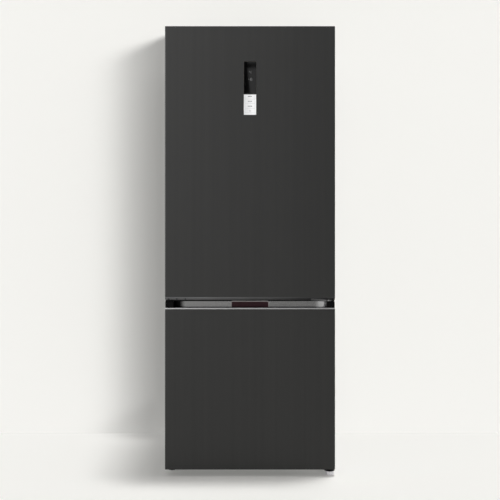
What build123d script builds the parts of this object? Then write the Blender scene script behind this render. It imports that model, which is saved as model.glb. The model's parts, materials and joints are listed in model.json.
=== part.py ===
from build123d import *
from math import atan2, cos, degrees, pi, radians, sin, tan
import os

# Free-standing fridge freezer with the freezer below.
# +X is to the right of someone facing the doors, +Y to the back, +Z up.
# The origin lies on the floor, under the middle of the cabinet and doors.

# Overall size
WIDTH = 700.0
DEPTH = 680.0
HEIGHT = 1850.0

# Sheet, wall and clearance values
SHEET = 0.8
RAIL_SHEET = 1.2
LINER = 2.0
JOINT_GAP = 0.3
RUN_GAP = 0.05
PRESS_GAP = 0.02
TUBE_SIDES = 6
ROUND_SIDES = 16
CORNER_EASE = 0.3

# Cabinet
DOOR_DEPTH = 60.0
SEAL_GAP = 12.0
REAR_STANDOFF = 30.0
FLOOR_GAP = 23.0
TOP_DROP = 18.0
FRONT_RETURN = 20.0
REAR_RETURN = 15.0
DOOR_SPLIT = 721.5
DOOR_GAP = 8.0
RAIL_HALF = 22.0
RAIL_DEPTH = 14.0

# Compartments, as wall thicknesses inside the cabinet
FRIDGE_WALL = 52.0
FRIDGE_ROOF = 42.0
FRIDGE_REAR_WALL = 50.0
FRIDGE_FLOOR_RISE = 52.0
FREEZER_WALL = 70.0
FREEZER_REAR_WALL = 60.0
FREEZER_CEILING_DROP = 38.0
FREEZER_FLOOR_WALL = 75.0
LINER_RADIUS = 14.0
MACHINE_DEPTH = 190.0
MACHINE_HEIGHT = 210.0
STEP_WALL = 55.0

# Back panel ribs
RIB_POSITIONS = (-215.0, -95.0, 95.0, 215.0)
RIB_HALF = 12.0
RIB_FLARE = 6.0
RIB_HEIGHT = 4.0

# Doors
BEND_RADIUS = 5.0
DOOR_FLOOR_GAP = 5.0
DYKE_WALL_GAP = 10.0
DYKE_END_GAP = 14.0
DYKE_WIDTH = 26.0
DYKE_DRAFT = 6.0
FRIDGE_DYKE_HEIGHT = 34.0
FREEZER_DYKE_HEIGHT = 26.0
GASKET_WIDTH = 18.0
GASKET_NECK = 8.0
GASKET_HEAD = 6.0
GASKET_INSET = 2.0
GASKET_END = 14.0
FREEZER_GASKET_TOP = 2.0

# Door end caps and the grip between the doors
TOP_CAP = 46.0
BASE_CAP = 25.0
FRIDGE_GRIP_CAP = 48.0
FREEZER_GRIP_CAP = 68.0
GRIP_FRONT_WALL = 10.0
GRIP_DEPTH = 30.0
GRIP_END_INSET = 32.0
GRIP_SCOOP = 46.0
FRIDGE_GRIP_HEIGHT = 35.0
FREEZER_GRIP_HEIGHT = 58.0
CAP_EDGE = 11.2
CAP_CHAMFER = 8.0
LIP_DROP = 31.5
LIP_HEIGHT = 6.0
LIP_BEVEL = 4.5
GRIP_TRIM = 1.2
HINGE_NOTCH_WIDTH = 100.0
HINGE_NOTCH_HEIGHT = 5.0
BADGE_WIDTH = 160.0
BADGE_HEIGHT = 35.0
BADGE_RISE = 2.0
BADGE_THICKNESS = 2.5
BADGE_RIM = 4.0
BADGE_RECESS = 0.8
BADGE_CORNER = 6.0

# Control strip in the upper door
CONTROL_WIDTH = 51.0
CONTROL_TOP_DROP = 145.0
DISPLAY_HEIGHT = 133.2
TOUCH_HEIGHT = 86.3
CONTROL_GLASS = 2.0
CONTROL_BODY = 14.0
CONTROL_RIM = 3.0

# Hinges, all on one vertical axis
PIN_INSET = 20.0
PIN_SETBACK = 32.0
PIN_RADIUS = 5.0
PIN_REACH = 24.0
PIN_HEAD = 2.0
PIN_HEAD_RADIUS = 8.0
BUSH_RADIUS = 8.0
BUSH_FLANGE = 11.0
BUSH_WASHER = 1.7
HINGE_PLATE = 3.0
HINGE_ARM = 12.0
MIDDLE_PLATE = 4.0
MIDDLE_ARM = 14.0
MIDDLE_FLANGE_LENGTH = 87.0
MIDDLE_FLANGE_HEIGHT = 28.0
POCKET_FLOOR_GAP = 2.0
POCKET_WALL = 5.0
POCKET_SIDE_GAP = 4.0
HINGE_PAD_LENGTH = 58.0
HINGE_PAD_DEPTH = 64.0
HINGE_PAD_SETBACK = 6.0
COVER_WALL = 2.0
COVER_HEIGHT = 16.0
COVER_MARGIN = 4.0
COVER_BEVEL = 3.0

# Levelling feet and rear rollers
FOOT_RADIUS = 18.0
FOOT_HEIGHT = 15.0
FOOT_STEM = 5.0
FOOT_STEM_REACH = 3.4
FOOT_FLUTES = 10
FLUTE_DEPTH = 2.5
BOSS_TOP_RADIUS = 25.0
BOSS_BASE_RADIUS = 17.0
LEFT_FOOT_INSET = 20.0
LEFT_FOOT_SETBACK = 30.0
ROLLER_RADIUS = 20.0
ROLLER_WIDTH = 18.0
ROLLER_SIDES = 24
ROLLER_INSET = 50.0
ROLLER_SETBACK = 48.0
AXLE_RADIUS = 4.0
EAR_SHEET = 3.0
EAR_HALF = 12.0
EAR_GAP = 4.0

# Compressor compartment
BASE_PLATE_HEIGHT = 46.0
BASE_PLATE = 2.0
BASE_PLATE_FLANGE = 14.0
BASE_PLATE_MARGIN = 8.0
COMPRESSOR_X = -140.0
COMPRESSOR_SETBACK = 98.0
COMPRESSOR_RADIUS = 72.0
COMPRESSOR_HEIGHT = 136.0
COMPRESSOR_DOME = 32.0
COMPRESSOR_SIDES = 24
COMPRESSOR_FOOT_LENGTH = 190.0
COMPRESSOR_FOOT_DEPTH = 104.0
COMPRESSOR_FOOT = 4.0
STUB_LENGTH = 14.0
STUB_RADIUS = 5.0
SUCTION_STUB_RISE = 70.0
DISCHARGE_STUB_RISE = 100.0
GROMMET_RADIUS = 12.0
GROMMET_HEIGHT = 12.0
GROMMET_WAIST = 9.0
GROMMET_EDGE = 16.0
TERMINAL_LENGTH = 40.0
TERMINAL_WIDTH = 56.0
TERMINAL_HEIGHT = 55.0
TERMINAL_RISE = 20.0
TERMINAL_BEVEL = 5.0
GLAND_RADIUS = 7.0
GLAND_BORE = 4.0
GLAND_LENGTH = 10.0
TRAY_LENGTH = 170.0
TRAY_DEPTH = 140.0
TRAY_HEIGHT = 26.0
TRAY_WALL = 2.0
TRAY_RADIUS = 12.0

# Condenser and refrigerant lines
TUBE_RADIUS = 2.6
COIL_SETBACK = 14.0
COIL_HALF = 225.0
COIL_RUNS = 13
COIL_BEND_GAP = 2.0
COIL_BOTTOM_RISE = 360.0
COIL_TOP_DROP = 368.0
COIL_SIDE = 25.0
LINE_BEND = 12.0
WIRE_SIZE = 1.6
WIRE_PITCH = 12.5
WIRE_OVERHANG = 16.0
BRACKET_X = 156.0
BRACKET_WIDTH = 8.0
BRACKET_HEIGHT = 40.0
BRACKET_BEVEL = 8.0
BRACKET_SLOT_GAP = 0.5
DRIER_RADIUS = 9.0
DRIER_LENGTH = 90.0
DRIER_DROP = 90.0
SUCTION_SIDE = 64.0

# Freezer evaporator and fan
EVAPORATOR_SPACE = 100.0
EVAPORATOR_COVER = 3.0
EVAPORATOR_HALF = 220.0
EVAPORATOR_FINS = 9
EVAPORATOR_FIN = 1.0
EVAPORATOR_PITCH = 50.0
EVAPORATOR_BEND_GAP = 3.0
EVAPORATOR_DEPTH = 60.0
EVAPORATOR_RISE = 20.0
EVAPORATOR_ROWS = 3
EVAPORATOR_TUBE = 5.0
FAN_DROP = 100.0
FAN_RADIUS = 52.0
FAN_HUB = 16.0
FAN_HUB_LENGTH = 20.0
FAN_SETBACK = 14.0
FAN_BLADES = 5
BLADE_CHORD = 30.0
BLADE_THICKNESS = 1.6
BLADE_PITCH = 35.0
SHAFT_RADIUS = 2.5
MOTOR_RADIUS = 24.0
MOTOR_LENGTH = 32.0
MOTOR_GAP = 6.0
MOTOR_ARM = 64.0
MOTOR_ARM_HALF = 7.0
MOTOR_POST = 4.0
VENT_LENGTH = 120.0
VENT_HEIGHT = 7.0
VENT_PITCH = 14.0
VENT_ROWS = 4
VENT_X = 130.0
VENT_TOP_DROP = 76.0

# Fridge interior
SHELF_GLASS = 4.0
SHELF_SETBACK = 118.0
SHELF_REAR_GAP = 25.0
SHELF_SIDE_GAP = 2.0
SHELF_FIRST = 206.0
SHELF_SECOND = 352.0
SHELF_PITCH = 166.0
SHELF_TOP_BAY = 120.0
LEDGE_WIDTH = 10.0
LEDGE_HEIGHT = 8.0
TRIM_DEPTH = 14.0
TRIM_LIP = 2.0
DUCT_HALF = 120.0
DUCT_DEPTH = 20.0
DUCT_TOP_GAP = 20.0
DUCT_BEVEL = 10.0
DUCT_VENT_LENGTH = 60.0
DUCT_VENT_X = 58.0
DUCT_VENT_DROP = 40.0
DUCT_VENT_CUT = 6.0
LAMP_LENGTH = 300.0
LAMP_DEPTH = 60.0
LAMP_HEIGHT = 12.0
LAMP_SETBACK = 180.0
LAMP_CHAMFER = 5.0

# Drawers and bins
DRAWER_WALL = 2.5
DRAWER_DRAFT = 2.0
DRAWER_RADIUS = 16.0
DRAWER_SETBACK = 122.0
DRAWER_SIDE_GAP = 28.0
DRAWER_LIP = 12.0
DRAWER_LIP_DROP = 10.0
DRAWER_FLOOR_GAP = 0.4
CRISPER_TOP_GAP = 10.0
CRISPER_REAR_GAP = 20.0
CHILLER_HEIGHT = 100.0
CHILLER_TOP_GAP = 20.0
RUNNER_SETBACK = 60.0
RUNNER_SHEET = 3.0
RUNNER_DROP = 6.0
RUNNER_WALL_GAP = 12.0
RUNNER_RIB = 22.0
RUNNER_RIB_HEIGHT = 12.0
FREEZER_DRAWER_SETBACK = 43.0
FREEZER_DRAWER_SIDE_GAP = 25.0
FREEZER_DRAWER_TOP_GAP = 22.0
FREEZER_DRAWER_BASE_GAP = 6.0
FREEZER_DRAWER_REAR_GAP = 10.0
FREEZER_DRAWER_COUNT = 3
FREEZER_FRONT = 4.0
FREEZER_FRONT_RISE = 6.0
FREEZER_FRONT_BEVEL = 8.0
HAND_HOLE_LENGTH = 180.0
HAND_HOLE_HEIGHT = 30.0
HAND_HOLE_CORNER = 10.0
HAND_HOLE_DROP = 34.0
BIN_DEPTH = 108.0
BIN_HEIGHT = 80.0
BIN_WALL = 2.5
BIN_RADIUS = 20.0
BIN_SIDE_GAP = 2.0
BIN_REAR_GAP = 1.0
BIN_FIRST = 330.0
BIN_PITCH = 215.0
BIN_TOP_BAY = 110.0
BOTTLE_BIN_HEIGHT = 110.0
BIN_LEDGE_WIDTH = 12.0
BIN_LEDGE_DEPTH = 28.0
BIN_LEDGE_HEIGHT = 10.0

# Places that follow from the sizes above
SIDE = WIDTH / 2
FRONT = -DEPTH / 2
BACK = DEPTH / 2
DOOR_REAR = FRONT + DOOR_DEPTH
DOOR_CORE_REAR = DOOR_REAR - LINER
CABINET_FRONT = DOOR_REAR + SEAL_GAP
CABINET_BACK = BACK - REAR_STANDOFF
CABINET_TOP = HEIGHT - TOP_DROP
CABINET_BASE = FLOOR_GAP
PANEL_BACK = CABINET_BACK - SHEET
FOAM_BACK = PANEL_BACK - SHEET
FOAM_HALF = SIDE - SHEET
FRIDGE_DOOR_BASE = DOOR_SPLIT + DOOR_GAP / 2
FREEZER_DOOR_TOP = DOOR_SPLIT - DOOR_GAP / 2
FREEZER_DOOR_BASE = CABINET_BASE + DOOR_FLOOR_GAP
FRIDGE_HALF = SIDE - FRIDGE_WALL
FRIDGE_FLOOR = DOOR_SPLIT + FRIDGE_FLOOR_RISE
FRIDGE_CEILING = CABINET_TOP - FRIDGE_ROOF
FRIDGE_BACK = CABINET_BACK - FRIDGE_REAR_WALL
FREEZER_HALF = SIDE - FREEZER_WALL
FREEZER_FLOOR = CABINET_BASE + FREEZER_FLOOR_WALL
FREEZER_CEILING = DOOR_SPLIT - FREEZER_CEILING_DROP
FREEZER_BACK = CABINET_BACK - FREEZER_REAR_WALL
MACHINE_FRONT = CABINET_BACK - MACHINE_DEPTH
MACHINE_TOP = CABINET_BASE + MACHINE_HEIGHT
STEP_FRONT = MACHINE_FRONT - STEP_WALL
STEP_TOP = MACHINE_TOP + STEP_WALL
PIN_X = SIDE - PIN_INSET
PIN_Y = FRONT + PIN_SETBACK
POCKET_FLOOR = CABINET_TOP - POCKET_FLOOR_GAP
POCKET_LEFT = PIN_X - HINGE_ARM - POCKET_SIDE_GAP
GRIP_FRONT = FRONT + GRIP_FRONT_WALL
GRIP_REAR = GRIP_FRONT + GRIP_DEPTH
GRIP_HALF = SIDE - GRIP_END_INSET
GRIP_FLAT = GRIP_HALF - GRIP_SCOOP
GRIP_FLOOR = FREEZER_DOOR_TOP - FREEZER_GRIP_HEIGHT
LIP_BASE = FREEZER_DOOR_TOP - LIP_DROP
FRIDGE_SKIN_BASE = FRIDGE_DOOR_BASE + CAP_EDGE
MIDDLE_PLATE_BASE = DOOR_SPLIT - MIDDLE_PLATE / 2
MIDDLE_PLATE_TOP = DOOR_SPLIT + MIDDLE_PLATE / 2
HINGE_NOTCH_TOP = FRIDGE_DOOR_BASE + HINGE_NOTCH_HEIGHT
BOTTOM_PLATE_BASE = CABINET_BASE - MIDDLE_PLATE
FRIDGE_DYKE_HALF = FRIDGE_HALF - DYKE_WALL_GAP
FREEZER_DYKE_HALF = FREEZER_HALF - DYKE_WALL_GAP
FRIDGE_DYKE_Z = (FRIDGE_FLOOR + DYKE_END_GAP, FRIDGE_CEILING - DYKE_END_GAP)
FREEZER_DYKE_Z = (FREEZER_FLOOR + DYKE_END_GAP, FREEZER_CEILING - DYKE_END_GAP)
GASKET_REACH = GASKET_END + GASKET_WIDTH
FREEZER_GASKET_REACH = FREEZER_GASKET_TOP + GASKET_WIDTH
FRIDGE_GASKET_Z = (FRIDGE_FLOOR - GASKET_REACH, FRIDGE_CEILING + GASKET_REACH)
FREEZER_GASKET_Z = (FREEZER_FLOOR - GASKET_REACH, FREEZER_CEILING + FREEZER_GASKET_REACH)
CONTROL_TOP = HEIGHT - CONTROL_TOP_DROP
TOUCH_TOP = CONTROL_TOP - DISPLAY_HEIGHT
CONTROL_BASE = TOUCH_TOP - TOUCH_HEIGHT
COMPRESSOR_Y = CABINET_BACK - COMPRESSOR_SETBACK
BASE_PLATE_TOP = BASE_PLATE_HEIGHT + BASE_PLATE
COMPRESSOR_FOOT_BASE = BASE_PLATE_TOP + GROMMET_HEIGHT
COMPRESSOR_BASE = COMPRESSOR_FOOT_BASE + COMPRESSOR_FOOT
COMPRESSOR_TOP = COMPRESSOR_BASE + COMPRESSOR_HEIGHT
ROLLER_Y = CABINET_BACK - ROLLER_SETBACK
ROLLER_X = SIDE - ROLLER_INSET
LEFT_FOOT_X = LEFT_FOOT_INSET - SIDE
LEFT_FOOT_Y = CABINET_FRONT + LEFT_FOOT_SETBACK
COIL_Y = CABINET_BACK + COIL_SETBACK
COIL_BASE = MACHINE_TOP + COIL_BOTTOM_RISE
COIL_TOP = CABINET_TOP - COIL_TOP_DROP
COIL_PITCH = (COIL_TOP - COIL_BASE) / (COIL_RUNS - 1)
COIL_BEND = COIL_PITCH / 2 - COIL_BEND_GAP
LINE_X = COIL_HALF + COIL_SIDE
EVAPORATOR_BEND = EVAPORATOR_PITCH / 2 - EVAPORATOR_BEND_GAP
WIRE_FACE = COIL_Y + TUBE_RADIUS * cos(pi / TUBE_SIDES)
COVER_Y = FREEZER_BACK - EVAPORATOR_SPACE
FAN_Z = FREEZER_CEILING - FAN_DROP
FAN_Y = COVER_Y + EVAPORATOR_COVER + FAN_SETBACK
MOTOR_Y = FAN_Y + FAN_HUB_LENGTH + MOTOR_GAP
SHELF_FRONT = CABINET_FRONT + SHELF_SETBACK
SHELF_BACK = FRIDGE_BACK - SHELF_REAR_GAP
SHELF_HALF = FRIDGE_HALF - SHELF_SIDE_GAP
SHELF_ROOM = FRIDGE_CEILING - SHELF_TOP_BAY - FRIDGE_FLOOR - SHELF_SECOND
SHELF_COUNT = int(SHELF_ROOM / SHELF_PITCH) + 1
SHELF_RISES = [SHELF_FIRST] + [SHELF_SECOND + i * SHELF_PITCH for i in range(SHELF_COUNT)]
SHELF_LEVELS = [FRIDGE_FLOOR + rise for rise in SHELF_RISES]
DRAWER_FRONT = CABINET_FRONT + DRAWER_SETBACK
DRAWER_HALF = FRIDGE_HALF - DRAWER_SIDE_GAP
CHILLER_TOP = SHELF_LEVELS[1] - CHILLER_TOP_GAP
FREEZER_DRAWER_FRONT = CABINET_FRONT + FREEZER_DRAWER_SETBACK
FREEZER_DRAWER_HALF = FREEZER_HALF - FREEZER_DRAWER_SIDE_GAP
FREEZER_DRAWER_PITCH = (FREEZER_CEILING - FREEZER_FLOOR) / FREEZER_DRAWER_COUNT
FREEZER_DRAWER_HEIGHT = FREEZER_DRAWER_PITCH - FREEZER_DRAWER_TOP_GAP
BIN_HALF = FRIDGE_DYKE_HALF - DYKE_WIDTH - BIN_SIDE_GAP
BIN_ROOM = FRIDGE_CEILING - BIN_TOP_BAY - FRIDGE_FLOOR - BIN_FIRST
BIN_LEVELS = [FRIDGE_FLOOR + BIN_FIRST + i * BIN_PITCH for i in range(int(BIN_ROOM / BIN_PITCH) + 1)]
BOTTLE_BIN_BASE = FRIDGE_DYKE_Z[0] + DYKE_WIDTH + BIN_LEDGE_HEIGHT
FULL_WIDTH = (-SIDE, SIDE)


def block(x, y, z):
    """Rectangular solid between three (low, high) pairs."""
    size = (x[1] - x[0], y[1] - y[0], z[1] - z[0])
    return Pos(x[0], y[0], z[0]) * Box(*size, align=(Align.MIN, Align.MIN, Align.MIN))


def rod(start, direction, radius, length):
    """Round bar from a point along a direction."""
    base = (Align.CENTER, Align.CENTER, Align.MIN)
    return Plane(origin=start, z_dir=direction) * Cylinder(radius, length, align=base)


def column(x, y, z, radius):
    """Upright round bar between two heights."""
    return rod((x, y, z[0]), (0, 0, 1), radius, z[1] - z[0])


def folded(line, thickness, side):
    """Face of a sheet folded along a line and thick to one side of it."""
    edge = Wire(line.edges())
    return make_face(edge.offset_2d(thickness, kind=Kind.INTERSECTION, side=side).edges())


def raised(face, z):
    """Plan outline extruded between two heights."""
    return Pos(0, 0, z[0]) * extrude(face, z[1] - z[0])


def across(face, x):
    """Side-view outline, drawn as (y, z), extruded between two x values."""
    return extrude(Plane.YZ.offset(x[0]) * face, x[1] - x[0])


def mirrored(solid):
    """The solid and its copy on the other side of the middle plane."""
    return solid + mirror(solid, about=Plane.YZ)


def pair(solid):
    """Left and right copies, kept as separate solids."""
    return Compound(children=[solid, mirror(solid, about=Plane.YZ)])


def eased(points, bend):
    """Route whose corners are cut back by the bend on both sides."""
    route = [Vector(*points[0])]
    for before, corner, after in zip(points, points[1:], points[2:]):
        here = Vector(*corner)
        route.append(here + (Vector(*before) - here).normalized() * bend)
        route.append(here + (Vector(*after) - here).normalized() * bend)
    route.append(Vector(*points[-1]))
    return route


def tube(points, bend, radius):
    """Faceted pipe along straight runs with eased corners."""
    path = Polyline(*eased(points, bend))
    seat = Plane(origin=path @ 0, x_dir=(0, 0, 1), z_dir=path % 0)
    section = seat * RegularPolygon(radius, TUBE_SIDES)
    return sweep(section, path=path, transition=Transition.RIGHT)


def turned(sections, sides):
    """Faceted round body, built up from cones through (radius, height) pairs."""
    cones = []
    for (low_radius, low), (high_radius, high) in zip(sections, sections[1:]):
        narrowing = abs(low_radius - high_radius) * cos(pi / sides)
        draft = degrees(atan2(narrowing, high - low))
        standing = Plane.XY.offset(low)
        hanging = Plane(origin=(0, 0, high), x_dir=(1, 0, 0), z_dir=(0, 0, -1))
        seat = standing if low_radius >= high_radius else hanging
        outline = RegularPolygon(max(low_radius, high_radius), sides)
        cones.append(seat * extrude(outline, high - low, taper=draft))
    return sum(cones[1:], cones[0])


def flat_round(radius, sides):
    """Faceted circle with flats towards the front, back and sides."""
    return RegularPolygon(radius, sides, major_radius=False, rotation=180 / sides)


def soft_rectangle(length, depth, corner):
    """Rectangle with its corners eased in two steps."""
    outline = Rectangle(length, depth)
    outline = chamfer(outline.vertices(), corner)
    return chamfer(outline.vertices(), corner * CORNER_EASE)


def tub(half, y, z, wall, radius, draft):
    """Open box with eased corners that narrows downwards; half and y are its size at the rim."""
    length = 2 * half
    depth = y[1] - y[0]
    height = z[1] - z[0]
    rim = Plane(origin=(0, (y[0] + y[1]) / 2, z[1]), x_dir=(1, 0, 0), z_dir=(0, 0, -1))
    shell = extrude(soft_rectangle(length, depth, radius), height, taper=draft)
    inside = soft_rectangle(length - 2 * wall, depth - 2 * wall, radius - wall)
    return rim * (shell - extrude(inside, height - wall, taper=draft))


# Cabinet panels

def outer_shell():
    """Steel wrap of both sides and the top, with returns in front and behind."""
    side_line = Polyline(
        (SIDE - FRONT_RETURN, CABINET_FRONT),
        (SIDE, CABINET_FRONT),
        (SIDE, CABINET_BACK),
        (SIDE - REAR_RETURN, CABINET_BACK),
    )
    side = raised(folded(side_line, SHEET, Side.LEFT), (CABINET_BASE, CABINET_TOP))
    top_line = Polyline(
        (CABINET_FRONT, CABINET_TOP - FRONT_RETURN),
        (CABINET_FRONT, CABINET_TOP),
        (CABINET_BACK, CABINET_TOP),
    )
    top = across(folded(top_line, SHEET, Side.RIGHT), FULL_WIDTH)
    base_room = block(
        (-FOAM_HALF, FOAM_HALF),
        (CABINET_FRONT, CABINET_FRONT + SHEET),
        (CABINET_BASE, CABINET_BASE + FRONT_RETURN),
    )
    return mirrored(side) + top - base_room


def back_panel():
    """Steel back with upright stiffening ribs."""
    points = [(-FOAM_HALF, PANEL_BACK)]
    for rib in RIB_POSITIONS:
        points += [
            (rib - RIB_HALF - RIB_FLARE, PANEL_BACK),
            (rib - RIB_HALF, PANEL_BACK + RIB_HEIGHT),
            (rib + RIB_HALF, PANEL_BACK + RIB_HEIGHT),
            (rib + RIB_HALF + RIB_FLARE, PANEL_BACK),
        ]
    points.append((FOAM_HALF, PANEL_BACK))
    return raised(folded(Polyline(*points), SHEET, Side.RIGHT), (MACHINE_TOP, CABINET_TOP - SHEET))


def base_panel():
    """Stepped steel floor with the nut boss for the left foot."""
    line = Polyline(
        (CABINET_FRONT, CABINET_BASE + FRONT_RETURN),
        (CABINET_FRONT, CABINET_BASE),
        (MACHINE_FRONT, CABINET_BASE),
        (MACHINE_FRONT, MACHINE_TOP),
        (FOAM_BACK, MACHINE_TOP),
    )
    floor = across(folded(line, SHEET, Side.LEFT), (-FOAM_HALF, FOAM_HALF))
    return floor + foot_boss(LEFT_FOOT_X, LEFT_FOOT_Y, CABINET_BASE)


def foot_boss(x, y, top):
    """Tapered nut boss that a levelling foot screws into from below."""
    base = FOOT_HEIGHT + JOINT_GAP
    cone = Pos(x, y, 0) * turned([(BOSS_BASE_RADIUS, base), (BOSS_TOP_RADIUS, top)], ROUND_SIDES)
    shell = block((-FOAM_HALF, FOAM_HALF), (FRONT, BACK), (base, top))
    bore = column(x, y, (base, FOOT_HEIGHT + FOOT_STEM_REACH + JOINT_GAP), FOOT_STEM + RUN_GAP)
    return (cone & shell) - bore


def fridge_cavity():
    """Inside of the fridge liner, rounded along its four long edges."""
    room = block(
        (-FRIDGE_HALF, FRIDGE_HALF),
        (CABINET_FRONT, FRIDGE_BACK),
        (FRIDGE_FLOOR, FRIDGE_CEILING),
    )
    return fillet(room.edges().filter_by(Axis.Y), LINER_RADIUS)


def fridge_tub():
    """Outside of the fridge liner."""
    half = FRIDGE_HALF + LINER
    return block(
        (-half, half),
        (CABINET_FRONT, FRIDGE_BACK + LINER),
        (FRIDGE_FLOOR - LINER, FRIDGE_CEILING + LINER),
    )


def freezer_profile(grow):
    """Side view of the freezer inside, with its step over the compressor."""
    return make_face(
        Polyline(
            (CABINET_FRONT, FREEZER_FLOOR - grow),
            (STEP_FRONT + grow, FREEZER_FLOOR - grow),
            (STEP_FRONT + grow, STEP_TOP - grow),
            (FREEZER_BACK + grow, STEP_TOP - grow),
            (FREEZER_BACK + grow, FREEZER_CEILING + grow),
            (CABINET_FRONT, FREEZER_CEILING + grow),
            close=True,
        )
    )


def freezer_tub(grow):
    """Freezer room with its step, made larger all round by grow."""
    half = FREEZER_HALF + grow
    return across(freezer_profile(grow), (-half, half))


def freezer_cavity():
    """Inside of the freezer liner, rounded along its floor and ceiling edges."""
    room = freezer_tub(0)
    long_edges = room.edges().filter_by(Axis.Y).group_by(Axis.Z)
    return fillet(long_edges[0] + long_edges[-1], LINER_RADIUS)


def flange(z):
    """Liner flange around an opening, on the cabinet's front plane."""
    half = SIDE - FRONT_RETURN - JOINT_GAP
    return block((-half, half), (CABINET_FRONT, CABINET_FRONT + LINER), z)


def ledges(half, width, y, top, height):
    """Pair of support ribs moulded on the side walls, ending at a height."""
    rib = block((half - width, half + LINER / 2), y, (top - height, top))
    return mirrored(rib)


def fridge_liner():
    """Fridge compartment tub with shelf ledges and chiller runners."""
    z = (DOOR_SPLIT + RAIL_HALF + JOINT_GAP, CABINET_TOP - FRONT_RETURN - JOINT_GAP)
    liner = fridge_tub() + flange(z) - fridge_cavity()
    shelf_y = (SHELF_FRONT + TRIM_DEPTH, SHELF_BACK)
    for level in SHELF_LEVELS:
        liner += ledges(FRIDGE_HALF, LEDGE_WIDTH, shelf_y, level, LEDGE_HEIGHT)
    runner_top = CHILLER_TOP - RUNNER_DROP - RUNNER_SHEET - JOINT_GAP
    return liner + ledges(FRIDGE_HALF, RUNNER_RIB, shelf_y, runner_top, RUNNER_RIB_HEIGHT)


def freezer_liner():
    """Freezer compartment tub with a runner pair for each drawer."""
    z = (CABINET_BASE + FRONT_RETURN + JOINT_GAP, DOOR_SPLIT - RAIL_HALF - JOINT_GAP)
    liner = freezer_tub(LINER) + flange(z) - freezer_cavity()
    for index in range(FREEZER_DRAWER_COUNT):
        y = (FREEZER_DRAWER_FRONT + RUNNER_SETBACK, freezer_drawer_back(index))
        top = freezer_drawer_z(index)[1] - RUNNER_DROP - RUNNER_SHEET - JOINT_GAP
        liner += ledges(FREEZER_HALF, RUNNER_RIB, y, top, RUNNER_RIB_HEIGHT)
    return liner


def centre_rail():
    """Steel channel across the front, between the two compartments."""
    line = Polyline(
        (CABINET_FRONT + RAIL_DEPTH, DOOR_SPLIT + RAIL_HALF),
        (CABINET_FRONT, DOOR_SPLIT + RAIL_HALF),
        (CABINET_FRONT, DOOR_SPLIT - RAIL_HALF),
        (CABINET_FRONT + RAIL_DEPTH, DOOR_SPLIT - RAIL_HALF),
    )
    half = SIDE - FRONT_RETURN - JOINT_GAP
    return across(folded(line, RAIL_SHEET, Side.LEFT), (-half, half))


def cabinet_foam():
    """Insulation between the steel panels and the liners."""
    body = block(
        (-FOAM_HALF, FOAM_HALF),
        (CABINET_FRONT + LINER, FOAM_BACK),
        (CABINET_BASE + SHEET, CABINET_TOP - SHEET),
    )
    machine = block(
        FULL_WIDTH,
        (MACHINE_FRONT - SHEET, BACK),
        (CABINET_BASE, MACHINE_TOP + SHEET),
    )
    rail = block(
        FULL_WIDTH,
        (CABINET_FRONT, CABINET_FRONT + RAIL_DEPTH),
        (DOOR_SPLIT - RAIL_HALF, DOOR_SPLIT + RAIL_HALF),
    )
    return body - machine - fridge_tub() - freezer_tub(LINER) - rail


# Doors

def door_plan(inset):
    """Plan outline of a door, set in from the sides and front."""
    half = SIDE - inset
    front = FRONT + inset
    outline = Polyline(
        (-half, DOOR_CORE_REAR),
        (-half, front),
        (half, front),
        (half, DOOR_CORE_REAR),
        close=True,
    )
    face = make_face(outline)
    corners = face.vertices().group_by(Axis.Y)[0]
    return fillet(corners, BEND_RADIUS)


def door_skin(z):
    """Steel front of a door, folded back along both sides."""
    line = FilletPolyline(
        (SIDE, DOOR_CORE_REAR),
        (SIDE, FRONT),
        (-SIDE, FRONT),
        (-SIDE, DOOR_CORE_REAR),
        radius=BEND_RADIUS,
    )
    return raised(folded(line, SHEET, Side.RIGHT), z)


def rim_outline(half, z, grow):
    """Frame-shaped limits of a door's raised rim, as (width, height) outside and inside."""
    height = z[1] - z[0]
    outside = (2 * (half + grow), height + 2 * grow)
    inner_half = half - DYKE_WIDTH - grow
    inside = (2 * inner_half, height - 2 * DYKE_WIDTH - 2 * grow)
    return outside, inside


def door_rim(half, z, height, grow):
    """Raised, drafted rim around the inside of a door."""
    outside, inside = rim_outline(half, z, grow)
    rise = height + LINER + grow
    flare = 2 * rise * tan(radians(DYKE_DRAFT))
    middle = sum(z) / 2
    seat = Plane(origin=(0, DOOR_CORE_REAR, middle), x_dir=(1, 0, 0), z_dir=(0, 1, 0))
    crest = Plane(origin=(0, DOOR_CORE_REAR + rise, middle), x_dir=(1, 0, 0), z_dir=(0, -1, 0))
    body = extrude(Rectangle(*outside), rise, taper=DYKE_DRAFT)
    opening = extrude(Rectangle(inside[0] + flare, inside[1] + flare), rise, taper=DYKE_DRAFT)
    return seat * body - crest * opening


def door_liner(door_z, half, rim_z, height):
    """Moulded inner face of a door with its raised rim, hollow behind."""
    plate = block(FULL_WIDTH, (DOOR_CORE_REAR, DOOR_REAR), door_z)
    return plate + door_rim(half, rim_z, height, 0) - door_rim(half, rim_z, height, -LINER)


def gasket(z):
    """Magnetic seal frame of a door: a narrow neck and a wide head."""
    half = PIN_X - GASKET_INSET
    head_front = CABINET_FRONT - JOINT_GAP - GASKET_HEAD
    inset = (GASKET_WIDTH - GASKET_NECK) / 2

    def frame(margin, width, y):
        outer_z = (z[0] + margin, z[1] - margin)
        outer = block((margin - half, half - margin), y, outer_z)
        reach = margin + width
        inner = block((reach - half, half - reach), y, (z[0] + reach, z[1] - reach))
        return outer - inner

    neck = frame(inset, GASKET_NECK, (DOOR_REAR, head_front))
    return neck + frame(0, GASKET_WIDTH, (head_front, CABINET_FRONT - JOINT_GAP))


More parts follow.
